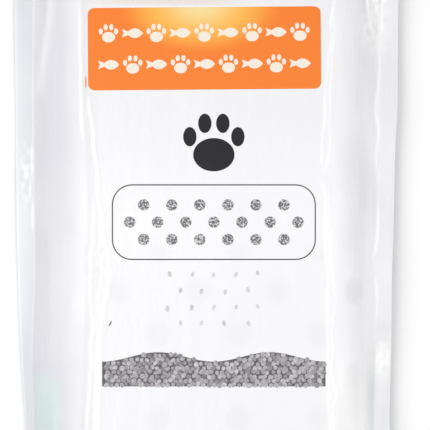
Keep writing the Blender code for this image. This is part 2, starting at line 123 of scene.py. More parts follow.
class Graph:
    """Adds nodes to one tree, of a material or of a geometry modifier."""

    def __init__(self, tree: bpy.types.NodeTree) -> None:
        """Keeps the tree."""
        self.tree = tree

    def node(self, kind: str, settings: dict | None = None, values: dict | None = None,
             outlet: int | str = 0) -> Wire:
        """Adds one node.

        Args:
            kind: its type.
            settings: its own options, which are set first.
            values: a number, colour or wire for each input, by name or number.
            outlet: the output that is wanted.

        Returns:
            That output.
        """
        made = self.tree.nodes.new(kind)
        for name, setting in (settings or {}).items():
            setattr(made, name, setting)
        for key, value in (values or {}).items():
            self.feed(made.inputs[key], value)
        return Wire(self, made.outputs[outlet])

    def feed(self, socket: bpy.types.NodeSocket, value: object) -> None:
        """Links a wire to an input, or sets the input to a value.

        Args:
            socket: the input.
            value: the wire or the value.
        """
        if isinstance(value, Wire):
            self.tree.links.new(value.socket, socket)
        else:
            socket.default_value = value

    def math(self, operation: str, first: Wire | float, second: Wire | float) -> Wire:
        """Adds a Math node."""
        return self.node("ShaderNodeMath", {"operation": operation}, {0: first, 1: second})

    def larger(self, first: Wire | float, second: Wire | float) -> Wire:
        """The larger of two values."""
        return self.math("MAXIMUM", first, second)

    def step(self, value: Wire, low: float, high: float) -> Wire:
        """0 where the value is at low or beyond, 1 at high or beyond, smooth between.

        Args:
            value: what it follows.
            low: where it is 0.
            high: where it is 1, which may be below low.

        Returns:
            The step.
        """
        settings = {"interpolation_type": "SMOOTHSTEP"}
        if low < high:
            return self.node("ShaderNodeMapRange", settings, {0: value, 1: low, 2: high})
        return 1.0 - self.node("ShaderNodeMapRange", settings, {0: value, 1: high, 2: low})

    def band(self, value: Wire, rise: Run, fall: Run) -> Wire:
        """1 between a rise and a fall, each given from where it is 0 to where it is 1."""
        return self.step(value, *rise) * self.step(value, *fall)

    def mix(self, share: Wire, first: object, second: object) -> Wire:
        """A colour between two colours."""
        settings = {"data_type": "RGBA"}
        return self.node("ShaderNodeMix", settings, {0: share, 6: first, 7: second}, 2)


class Surface(Graph):
    """The node tree of one material, with a Principled shader."""

    def __init__(self, name: str) -> None:
        """Makes the material and empties its tree.

        Args:
            name: the material's name.
        """
        self.material = bpy.data.materials.new(name)
        self.material.use_nodes = True
        super().__init__(self.material.node_tree)
        self.tree.nodes.clear()

    def places(self) -> tuple[Wire, Wire, Wire]:
        """The object's own X, Y and Z at the shaded point.

        Returns:
            A wire for each.
        """
        here = self.node("ShaderNodeTexCoord", outlet="Object")
        split = self.node("ShaderNodeSeparateXYZ", values={0: here})
        return split, split.outlet("Y"), split.outlet("Z")

    def relief(self, height: Wire, depth: float, strength: float) -> Wire:
        """The shading normal over a fine relief of this depth, in metres."""
        values = {"Strength": strength, "Distance": depth, "Height": height}
        return self.node("ShaderNodeBump", values=values)

    def attribute(self, name: str) -> Wire:
        """A value that the mesh keeps at its points."""
        return self.node("ShaderNodeAttribute", {"attribute_name": name}, outlet="Fac")

    def cloud(self, pitch: float, detail: float = 2.0, stretch: Colour = (1.0, 1.0, 1.0)) -> Wire:
        """Even noise between 0 and 1.

        Args:
            pitch: the size of its patches, in metres.
            detail: how many finer layers it has.
            stretch: how many times finer it is along each axis.

        Returns:
            The noise.
        """
        here = self.node("ShaderNodeTexCoord", outlet="Object")
        turned = self.node("ShaderNodeMapping", values={"Vector": here, "Scale": stretch})
        values = {"Vector": turned, "Scale": 1.0 / pitch, "Detail": detail}
        return self.node("ShaderNodeTexNoise", values=values)

    def finish(self, values: dict) -> bpy.types.Material:
        """Closes the tree with a Principled shader of these values.

        Args:
            values: a number, colour or wire for each of its sockets.

        Returns:
            The material.
        """
        shader = self.node("ShaderNodeBsdfPrincipled", values=values)
        self.node_output(shader)
        return self.material

    def node_output(self, shader: Wire) -> None:
        """Links a shader to the material's output."""
        out = self.tree.nodes.new("ShaderNodeOutputMaterial")
        self.feed(out.inputs["Surface"], shader)


def opaque(colour: Colour) -> tuple[float, float, float, float]:
    """A colour with full cover."""
    return (*colour, 1.0)


@dataclass(frozen=True)
class HoleLattice:
    """Staggered round perforations of the liners, which show through as soft shadows.

    Past the stack's edge they are seen aslant, squeezed together across the pack.
    """

    pitch: float = 0.0410
    row_pitch: float = 0.0216
    centre: Place = (-0.0045, -0.0457)
    radius: float = 0.0062
    softness: float = 0.0030
    edge: float = 0.0660
    squeeze: float = 0.36

    def shade(self, surface: Surface, x: Wire, y: Wire) -> Wire:
        """1 in the middle of each perforation and 0 between them.

        Args:
            surface: the film's tree.
            x: place across the pack.
            y: place along it.

        Returns:
            The shade.
        """
        row = round((y - self.centre[1]) / self.row_pitch)
        past_edge = surface.larger(x - self.edge, 0.0)
        along = (x + self.squeeze * past_edge - self.centre[0]) / self.pitch - 0.5 * (row % 2.0)
        beside = (along - round(along)) * self.pitch
        above = y - self.centre[1] - row * self.row_pitch
        distance = (beside * beside + above * above) ** 0.5
        return surface.step(distance, self.radius + self.softness, self.radius - self.softness)


@dataclass(frozen=True)
class FilmFinish:
    """Milky polythene: glossy, a little cloudy, darker where no liners lie behind it.

    Its runs and bands say where the whites, the perforations' shadows, the green of the back's
    print and the warm haze at the head come and go. The whites are painted darker at the head than
    at the foot, the greys of slack film and seals carry painted shade besides the film's own grey,
    and the crease white is painted highlight.
    """

    # Painted light: the film's white is painted darker at the head and lighter at the foot.
    shaded_head_white: Colour = (0.885, 0.885, 0.903)
    lit_foot_white: Colour = (0.940, 0.940, 0.958)
    # Grey of the film where no liners lie behind it, used also for painted shade on the slopes.
    slack_and_shade_grey: Colour = (0.660, 0.660, 0.705)
    # Grey of the seals, used also for painted shade on them.
    seal_and_shade_grey: Colour = (0.655, 0.665, 0.705)
    # White of the painted highlights along the creases and the glints.
    painted_highlight_white: Colour = (1.0, 1.0, 1.0)
    hole_grey: Colour = (0.62, 0.62, 0.67)
    green_tint: Colour = (0.63, 0.73, 0.72)
    warm_tint: Colour = (0.81, 0.66, 0.55)
    painted_light_run: Run = (0.100, -0.040)
    streak_share: Share = (0.80, 0.40)
    hole_flat_run: Run = (-0.016, -0.030)
    hole_flat_share: Share = (0.05, 0.12)
    hole_slope_run: Run = (-0.018, -0.034)
    hole_slope_across: Band = ((0.068, 0.072), (0.084, 0.080))
    hole_slope_share: float = 0.22
    green_run: Run = (-0.080, -0.098)
    green_rag: float = 0.022
    green_left: Band = ((-0.0720, -0.0775), (-0.0905, -0.0865))
    green_left_share: float = 0.85
    green_right: Band = ((0.0805, 0.0835), (0.0880, 0.0862))
    green_right_share: float = 0.55
    green_on_seal: float = 0.2
    haze_along: Band = ((0.0995, 0.1015), (0.122, 0.112))
    haze_middle: float = -0.021
    haze_across: Run = (0.050, 0.012)
    haze_share: Share = (0.04, 0.52)
    cloud_pitch: float = 0.030
    streak_pitch: float = 0.0080
    grain_pitch: float = 0.0016
    grain_share: float = 0.35
    ripple_pitch: float = 0.0070
    roughness: float = 0.34
    roughness_range: float = 0.12
    coat: float = 0.45
    coat_roughness: float = 0.16
    relief_depth: float = 0.00064
    relief_strength: float = 0.55
    holes: HoleLattice = HoleLattice()

    def material(self) -> bpy.types.Material:
        """Builds the front film's material.

        Returns:
            The material, which reads the film's slack, seal and crease attributes.
        """
        surface = Surface("milky_film")
        x, y, _ = surface.places()
        # The slack and seal attributes carry the film's grey where no liners back it, and painted
        # shade as well.
        slack = surface.attribute("slack")
        seal = surface.attribute("seal")
        # The crease attribute carries the painted highlights along the creases and the glints.
        crease = surface.attribute("crease")
        cloud = surface.cloud(self.cloud_pitch, detail=3.0)
        streaks = surface.cloud(self.streak_pitch, stretch=(1.0, 0.10, 1.0))
        depth = slack * (self.streak_share[0] + self.streak_share[1] * streaks)
        ragged = y + self.green_rag * (cloud - 0.5)
        # Painted light: darker at the head, lighter towards the foot, where the light fell more
        # strongly.
        white = surface.step(y, *self.painted_light_run)
        colour = surface.mix(white, opaque(self.shaded_head_white), opaque(self.lit_foot_white))
        for share, tint in (
            (depth, self.slack_and_shade_grey),
            (seal, self.seal_and_shade_grey),
            (self._hole_shade(surface, x, y, slack, seal, cloud), self.hole_grey),
            (self._green_shade(surface, x, ragged, seal), self.green_tint),
            (self._warm_shade(surface, x, y), self.warm_tint),
            (crease, self.painted_highlight_white),
        ):
            colour = surface.mix(share, colour, opaque(tint))
        grain = surface.cloud(self.grain_pitch, detail=3.0, stretch=(1.0, 0.35, 1.0))
        ripple = surface.cloud(self.ripple_pitch, stretch=(1.0, 0.25, 1.0))
        height = self.grain_share * grain + ripple
        return surface.finish({
            "Base Color": colour,
            "Roughness": self.roughness + self.roughness_range * (cloud - 0.5),
            "Coat Weight": self.coat,
            "Coat Roughness": self.coat_roughness,
            "Normal": surface.relief(height, self.relief_depth, self.relief_strength),
        })

    def _hole_shade(self, surface: Surface, x: Wire, y: Wire, slack: Wire, seal: Wire,
                    cloud: Wire) -> Wire:
        """How strongly the liners' perforations darken the film.

        Args:
            surface: the film's tree.
            x: place across the pack.
            y: place along it.
            slack: how slack the film is.
            seal: how strongly the seal shows.
            cloud: the film's soft noise.

        Returns:
            The shade, from 0 to 1.
        """
        faintest, more = self.hole_flat_share
        on_flat = surface.step(y, *self.hole_flat_run) * (1.0 - slack) * (faintest + more * cloud)
        inner, outer = self.hole_slope_across
        on_slope = surface.step(x, *inner) * surface.step(y, *self.hole_slope_run)
        on_slope = on_slope * self.hole_slope_share * (1.0 - seal) * surface.step(x, *outer)
        return self.holes.shade(surface, x, y) * (on_flat + on_slope)

    def _green_shade(self, surface: Surface, x: Wire, y: Wire, seal: Wire) -> Wire:
        """How strongly the back's print tints the slack film near the foot.

        Args:
            surface: the film's tree.
            x: place across the pack.
            y: place along it.
            seal: how strongly the seal shows.

        Returns:
            The tint, from 0 to 1.
        """
        left = surface.band(x, *self.green_left) * self.green_left_share
        right = surface.band(x, *self.green_right) * self.green_right_share
        clear = 1.0 - (1.0 - self.green_on_seal) * seal
        return surface.step(y, *self.green_run) * (left + right) * clear

    def _warm_shade(self, surface: Surface, x: Wire, y: Wire) -> Wire:
        """How strongly the warm printed haze above the header shows.

        Args:
            surface: the film's tree.
            x: place across the pack.
            y: place along it.

        Returns:
            The tint, from 0 to 1.
        """
        across = surface.step(abs(x - self.haze_middle), *self.haze_across)
        faintest, more = self.haze_share
        return surface.band(y, *self.haze_along) * (faintest + more * across)


@dataclass(frozen=True)
class BackFinish:
    """The back film, with its pale green printed field towards the foot."""

    white: Colour = (0.84, 0.845, 0.87)
    green: Colour = (0.55, 0.76, 0.69)
    shade_grey: Colour = (0.66, 0.67, 0.70)
    shade_share: float = 0.16
    field_top: float = -0.0880
    field_half: float = 0.0865
    field_edge: float = 0.0003
    cloud_pitch: float = 0.022
    ripple_pitch: float = 0.0060
    roughness: float = 0.36
    roughness_range: float = 0.10
    coat: float = 0.40
    coat_roughness: float = 0.18
    relief_depth: float = 0.0006
    relief_strength: float = 0.5

    def material(self) -> bpy.types.Material:
        """Builds the back film's material.

        Returns:
            The material.
        """
        surface = Surface("back_film")
        x, y, _ = surface.places()
        cloud = surface.cloud(self.cloud_pitch, detail=3.0)
        printed = surface.step(y, self.field_top + self.field_edge, self.field_top)
        printed = printed * surface.step(abs(x), self.field_half, self.field_half - self.field_edge)
        colour = surface.mix(printed, opaque(self.white), opaque(self.green))
        ripple = surface.cloud(self.ripple_pitch, detail=3.0, stretch=(1.0, 0.4, 1.0))
        return surface.finish({
            "Base Color": surface.mix(cloud * self.shade_share, colour, opaque(self.shade_grey)),
            "Roughness": self.roughness + self.roughness_range * (cloud - 0.5),
            "Coat Weight": self.coat,
            "Coat Roughness": self.coat_roughness,
            "Normal": surface.relief(ripple, self.relief_depth, self.relief_strength),
        })


@dataclass(frozen=True)
class InkFinish:
    """A printed ink under the film's gloss, mottled as flexographic print is."""

    name: str
    colour: Colour
    mottle_colour: Colour
    mottle: float = 0.25
    mottle_pitch: float = 0.0008
    mottle_run: Run = (0.42, 0.66)
    roughness: float = 0.36
    roughness_range: float = 0.10
    coat: float = 0.25
    coat_roughness: float = 0.16
    specular: float = 0.30
    toned: bool = False

    def material(self) -> bpy.types.Material:
        """Builds the ink's material.

        Returns:
            The material. A toned ink takes each motif's own share of the mottle colour.
        """
        surface = Surface(self.name)
        speck = surface.cloud(self.mottle_pitch)
        share = surface.step(speck, *self.mottle_run) * self.mottle
        if self.toned:
            share = share + surface.attribute("tone") * (1.0 - self.mottle)
        colour = surface.mix(share, opaque(self.colour), opaque(self.mottle_colour))
        return surface.finish({
            "Base Color": self._tinted(surface, colour),
            "Roughness": self.roughness + self.roughness_range * (speck - 0.5),
            "Specular IOR Level": self.specular,
            "Coat Weight": self.coat,
            "Coat Roughness": self.coat_roughness,
        })

    def _tinted(self, surface: Surface, colour: Wire) -> Wire:
        """The ink's colour, which a plain ink leaves as it is."""
        return colour


@dataclass(frozen=True)
class HeaderFinish(InkFinish):
    """The header's orange ink, with a warm glow that hangs from the middle of its top."""

    glow: Colour = (1.0, 0.49, 0.070)
    glow_core: Colour = (0.95, 0.76, 0.34)
    crown: Place = (-0.0035, 0.0995)
    reach: Place = (0.0340, 0.0200)
    glow_run: Run = (1.25, 0.60)
    core_run: Run = (0.75, 0.0)

    def _tinted(self, surface: Surface, colour: Wire) -> Wire:
        """Adds the glow to the ink's colour.

        Args:
            surface: the ink's tree.
            colour: the ink's colour.

        Returns:
            The colour with its glow.
        """
        x, y, _ = surface.places()
        across = (x - self.crown[0]) / self.reach[0]
        down = (y - self.crown[1]) / self.reach[1]
        away = (across * across + down * down) ** 0.5
        halo = surface.mix(surface.step(away, *self.glow_run), colour, opaque(self.glow))
        return surface.mix(surface.step(away, *self.core_run), halo, opaque(self.glow_core))


HEADER_INK = HeaderFinish("header_orange", (0.960, 0.216, 0.012), (0.960, 0.236, 0.020))
CREAM_INK = InkFinish("print_cream", (0.940, 0.850, 0.725), (0.980, 0.905, 0.800))
CHARCOAL_INK = InkFinish("print_charcoal", (0.008, 0.008, 0.010), (0.024, 0.023, 0.027),
                         coat=0.12, specular=0.18)
LINE_INK = InkFinish("print_line_grey", (0.045, 0.045, 0.050), (0.11, 0.11, 0.12))
HOLE_INK = InkFinish("print_hole_grey", (0.100, 0.100, 0.105), (0.90, 0.90, 0.91),
                     mottle=0.85, mottle_pitch=0.0009)
GRAIN_INK = InkFinish("print_grain_grey", (0.60, 0.595, 0.60), (0.76, 0.755, 0.755), toned=True)
GROUND_INK = InkFinish("print_bed_ground", (0.100, 0.094, 0.104), (0.25, 0.24, 0.25))
GRANULE_INK = InkFinish("print_granule_grey", (0.20, 0.190, 0.205), (0.68, 0.66, 0.68),
                        mottle=0.35, mottle_pitch=0.0012, toned=True)


def smooth_through(at: np.ndarray, stops: Stops) -> np.ndarray:
    """A smooth curve through stops.

    Args:
        at: where it is wanted.
        stops: (place, value) pairs, in any order of place.

    Returns:
        Its values, which stay level beyond the first and last stop.
    """
    places, values = np.array(sorted(stops)).T
    slopes = np.gradient(values, places)
    index = np.clip(np.searchsorted(places, at) - 1, 0, len(places) - 2)
    span = places[index + 1] - places[index]
    t = np.clip((at - places[index]) / span, 0.0, 1.0)
    low, high = values[index], values[index + 1]
    bend = (t - 1) * (slopes[index] * span * (1 - t) - slopes[index + 1] * span * t) * -t
    return low + (high - low) * t * t * (3 - 2 * t) + bend


def ramp(value: np.ndarray, start: float, run: float) -> np.ndarray:
    """0 before start, 1 from a run further on, and an even curve between.

    Args:
        value: what it follows.
        start: where it begins.
        run: how far on it is full. Below 0, it is full on the lower side.

    Returns:
        Its values.
    """
    t = np.clip((value - start) / run, 0.0, 1.0)
    return t * t * (3 - 2 * t)


def bump(value: np.ndarray) -> np.ndarray:
    """1 at 0, falling to nothing about 2 away."""
    return np.exp(-value * value)


def uneven_wave(place: np.ndarray, pitch: float, offset: np.ndarray | float) -> np.ndarray:
    """A wave between -1 and 1 that doesn't repeat itself exactly."""
    turn, second = 2 * math.pi * place / pitch, 0.6
    return (np.sin(turn + offset) + second * np.sin(second * turn + 2 * offset)) / (1 + second)


@dataclass(frozen=True)
class Clouds:
    """Smooth noise between about -1 and 1, of one pitch along X and another along Y."""

    height: float
    pitch: Place
    seed: float

    def at(self, x: np.ndarray, y: np.ndarray) -> np.ndarray:
        """The noise at each place.

        Args:
            x: places across the pack.
            y: places along it.

        Returns:
            Its values.
        """
        flat = zip((x / self.pitch[0]).ravel(), (y / self.pitch[1]).ravel())
        values = [noise.noise(Vector((u, v, self.seed))) for u, v in flat]
        return np.array(values).reshape(x.shape)

    def rise(self, x: np.ndarray, y: np.ndarray, share: np.ndarray) -> np.ndarray:
        """How far the noise lifts the film, where this share of it shows."""
        return self.height * share * self.at(x, y)


@dataclass(frozen=True)
class Patch:
    """A soft-edged patch of crumpled film.

    across is its middle and half width, and along its middle and half length. A patch that
    reaches one end of the pack has there the place where it starts and its run instead.
    strength is how much it shows, and sparkle how much more or less its facets do. Some patches
    stand for painted glints instead of crumples: they whiten the film's colour as a highlight
    would, and sparkle makes that painted highlight patchy over the facets.
    """

    across: Place
    along: Place
    strength: float = 1.0
    sparkle: float = 0.0
    to_end: bool = False

    def cover(self, x: np.ndarray, y: np.ndarray) -> np.ndarray:
        """How much each place is in the patch, from 0 to 1.

        Args:
            x: places across the pack.
            y: places along it.

        Returns:
            The cover.
        """
        middle, half = self.along
        along = ramp(y, middle, half) if self.to_end else bump((y - middle) / half)
        return bump((x - self.across[0]) / self.across[1]) * along


@dataclass(frozen=True)
class Crease:
    """A thin ridge in the film that runs along the pack.

    route gives its distance across the pack at places along it, width is the ridge's own
    half width, and beads is the length of its uneven stretches. It wanders from its route
    over a share of that length, and its number of stops gives it a phase of its own.
    """

    route: Stops
    height: float
    width: float
    beads: float = 0.0240
    wander: float = 0.00025
    wander_share: float = 0.8
    wander_phase: float = 1.7
    unevenness: float = 0.35
    fade: float = 0.020
    # How strongly a painted highlight along the ridge whitens the film's colour.
    gloss: float = 0.9

    def shape(self, x: np.ndarray, y: np.ndarray) -> np.ndarray:
        """The ridge's section at each place, from 0 to 1.

        Args:
            x: places across the pack.
            y: places along it.

        Returns:
            The section's height.
        """
        ends = [place for place, _ in self.route]
        phase = len(self.route)
        wander = uneven_wave(y, self.beads * self.wander_share, phase * self.wander_phase)
        middle = smooth_through(y, self.route) + self.wander * wander
        wave = uneven_wave(y, self.beads, phase)
        strength = 1 - self.unevenness * (1 + wave) / 2
        strength = strength * ramp(y, min(ends), self.fade) * ramp(y, max(ends), -self.fade)
        return strength * bump((x - middle) / self.width)


@dataclass(frozen=True)
class Fold:
    """A soft ridge down a side slope.

    It runs between two places, each given as its distance along the pack and its share of
    the way from the stack's edge to the seal.
    """

    side: Side
    start: Place
    end: Place
    height: float
    width: float

    def rise(self, run: float, on_side: np.ndarray, share: np.ndarray, y: np.ndarray) -> np.ndarray:
        """How far the ridge lifts the film at each place of the slope.

        Args:
            run: how wide the slope is.
            on_side: below 0 on the left, above 0 on the right.
            share: how far down the slope each place lies.
            y: places along the pack.

        Returns:
            The lift, in metres.
        """
        way = np.array([self.end[0] - self.start[0], (self.end[1] - self.start[1]) * run])
        along, across = y - self.start[0], (share - self.start[1]) * run
        reached = np.clip((along * way[0] + across * way[1]) / way.dot(way), 0.0, 1.0)
        beside = np.hypot(along - way[0] * reached, across - way[1] * reached) / self.width
        here = on_side * self.side.value > 0
        return here * self.height * np.sin(math.pi * reached) ** 0.5 * bump(beside)


@dataclass
class Lie:
    """Where each point of the film lies on the pack.

    clear is its distance outside the stack, share how far it is down the slope, margin how
    far out across the seal, and core and side_share say which part of the outline it is by.
    """

    x: np.ndarray
    y: np.ndarray
    clear: np.ndarray
    share: np.ndarray
    margin: np.ndarray
    core_x: np.ndarray
    core_y: np.ndarray
    side_share: np.ndarray


@dataclass
class FilmPouch:
    """The film pouch: front and back panel, sealed along all four edges.

    A draw-in is how far a side has come in at the foot, and the power of its curve. The stops run
    along the pack: how far out an edge drifts, how far from the middle a seal begins, and how
    strongly the seals and the slack film are shaded, which is partly their own grey and partly
    painted shade. crumpled lifts the film, and the other patches lighten it with painted glints.
    columns and rows count the grid's steps from edge to edge, over seal, slope, creased strip and
    flat.
    """

    name: str = "pouch_film"
    stack_width: float = 0.130
    stack_length: float = 0.255
    stack_height: float = 0.016
    stack_corner: float = 0.012
    stack_offset: float = 0.0015
    stack_waist: float = 0.0030
    base_inset: float = 0.0040
    side_run: float = 0.0245
    end_run: float = 0.0225
    side_seal: float = 0.0105
    end_seal: float = 0.0100
    seal_thickness: float = 0.0004
    seal_height: float = 0.0055
    seal_droop: float = 0.0015
    seal_lean: float = 0.0025
    seal_corner: float = 0.0050
    pouch_corner: float = 0.0025
    left_draw_in: Place = (0.0082, 3.0)
    right_draw_in: Place = (0.0068, 1.1)
    left_drift: Stops = (
        (0.150, 0.0), (0.030, 0.0), (-0.020, 0.0002), (-0.040, 0.0003), (-0.061, 0.0001),
        (-0.078, -0.0002), (-0.092, -0.0004), (-0.113, -0.0005), (-0.150, 0.0))
    right_drift: Stops = (
        (0.150, 0.0), (0.088, 0.0001), (0.072, 0.0004), (0.052, 0.0007), (0.028, 0.0),
        (-0.015, 0.0), (-0.040, -0.0004), (-0.061, -0.0001), (-0.150, 0.0))
    left_seal_line: Stops = (
        (0.150, 0.0895), (0.104, 0.0895), (0.032, 0.0897), (-0.007, 0.0892), (-0.040, 0.0890),
        (-0.061, 0.0899), (-0.078, 0.0903), (-0.118, 0.0894), (-0.150, 0.0900))
    right_seal_line: Stops = (
        (0.150, 0.0895), (0.104, 0.0899), (0.078, 0.0889), (0.052, 0.0881), (-0.007, 0.0878),
        (-0.030, 0.0856), (-0.050, 0.0868), (-0.080, 0.0867), (-0.118, 0.0860), (-0.150, 0.0885))
    # Painted shade on the seals along the pack, over the seal's own grey: the left seal's is much
    # deeper than the right's, where the left lamps light it more strongly.
    left_seal_shade: Stops = (
        (0.100, 0.88), (0.078, 0.86), (0.052, 0.80), (0.027, 0.68), (0.001, 0.68),
        (-0.020, 0.62), (-0.060, 0.80), (-0.077, 0.96), (-0.120, 0.98))
    right_seal_shade: Stops = (
        (0.090, 0.20), (0.030, 0.36), (-0.020, 0.36), (-0.045, 0.26), (-0.100, 0.40))
    # Painted shade on the slack film, along each side of the pack; deeper on the left, where the
    # left lamps light the slope more strongly.
    left_slack: Stops = (
        (0.150, 1.0), (0.020, 1.0), (-0.020, 0.90), (-0.040, 0.78), (-0.061, 0.88),
        (-0.078, 0.95), (-0.095, 1.12), (-0.150, 1.12))
    right_slack: Stops = (
        (0.095, 0.42), (0.066, 0.38), (0.040, 0.50), (-0.030, 0.40), (-0.070, 0.14),
        (-0.110, 0.0))
    foot_release: float = 0.050
    top_fullness: float = 1.58
    base_fullness: float = 1.6
    gather_height: float = 0.0011
    gather_pitch: float = 0.0160
    gather_reach: float = 0.034
    gather_run: Onset = (0.110, 0.020)
    base_gather: float = 0.22
    side_wave_height: float = 0.0004
    side_wave_length: float = 0.047
    seal_wave_height: float = 0.0009
    seal_wave_length: float = 0.088
    seal_wave_slant: float = 0.7
    plateau_swell: Clouds = Clouds(0.00016, (0.030, 0.045), 3.0)
    slack_streak: Clouds = Clouds(0.00030, (0.0065, 0.060), 11.0)
    crinkle: Clouds = Clouds(0.00045, (0.0030, 0.0042), 23.0)
    # Facets over which the painted glints sparkle.
    facets: Clouds = Clouds(1.0, (0.0022, 0.0040), 5.0)
    swell_fade: float = 0.15
    seal_crinkle: float = 0.10
    seal_crinkle_run: float = 0.2
    # Runs and shares that spread the slack film's grey and its painted shade over each slope.
    left_slack_run: Onset = (-0.009, 0.026)
    left_thin_run: Onset = (0.65, 0.35)
    left_thin_share: Share = (0.42, 0.40)
    left_thin_along: Onset = (0.070, -0.100)
    right_slack_run: Onset = (-0.05, 0.65)
    right_thin_run: Onset = (0.62, 0.34)
    right_thin_share: float = 0.85
    seal_blend: float = 0.05
    # The left seal's painted shade is deeper by its inner edge and fades towards its outer rim,
    # which is left light as painted rim light.
    left_rim_share: Share = (1.42, 0.55)
    left_rim_run: Onset = (1.1, -0.35)
    crumpled: tuple[Patch, ...] = (
        Patch((-0.0545, 0.0040), (-0.033, 0.018)),
        Patch((0.0630, 0.0030), (0.005, 0.060), strength=0.25),
        Patch((0.0865, 0.0050), (0.080, 0.02), strength=0.5, to_end=True),
        Patch((0.0905, 0.0045), (-0.0810, 0.0095)),
    )
    # Patches of painted glints, whitening the film's colour where its crinkles would catch the
    # light; the last paints light over the slope by the foot on the right.
    shining: tuple[Patch, ...] = (
        Patch((-0.0545, 0.0045), (-0.036, 0.018), strength=0.05, sparkle=1.3),
        Patch((0.0905, 0.0045), (-0.0810, 0.0090), strength=1.2, sparkle=1.0),
        Patch((0.0866, 0.0056), (0.072, 0.016), strength=0.80, sparkle=1.4, to_end=True),
        Patch((-0.0940, 0.0030), (0.014, 0.014), strength=0.2, sparkle=1.0),
        Patch((0.0745, 0.0120), (-0.070, -0.022), strength=0.55, to_end=True),
    )
    crease_zone: Place = (0.0170, 0.0110)
    columns: tuple[int, ...] = (10, 40, 38, 22, 26, 42, 12)
    rows: tuple[int, ...] = (6, 18, 200, 18, 6)
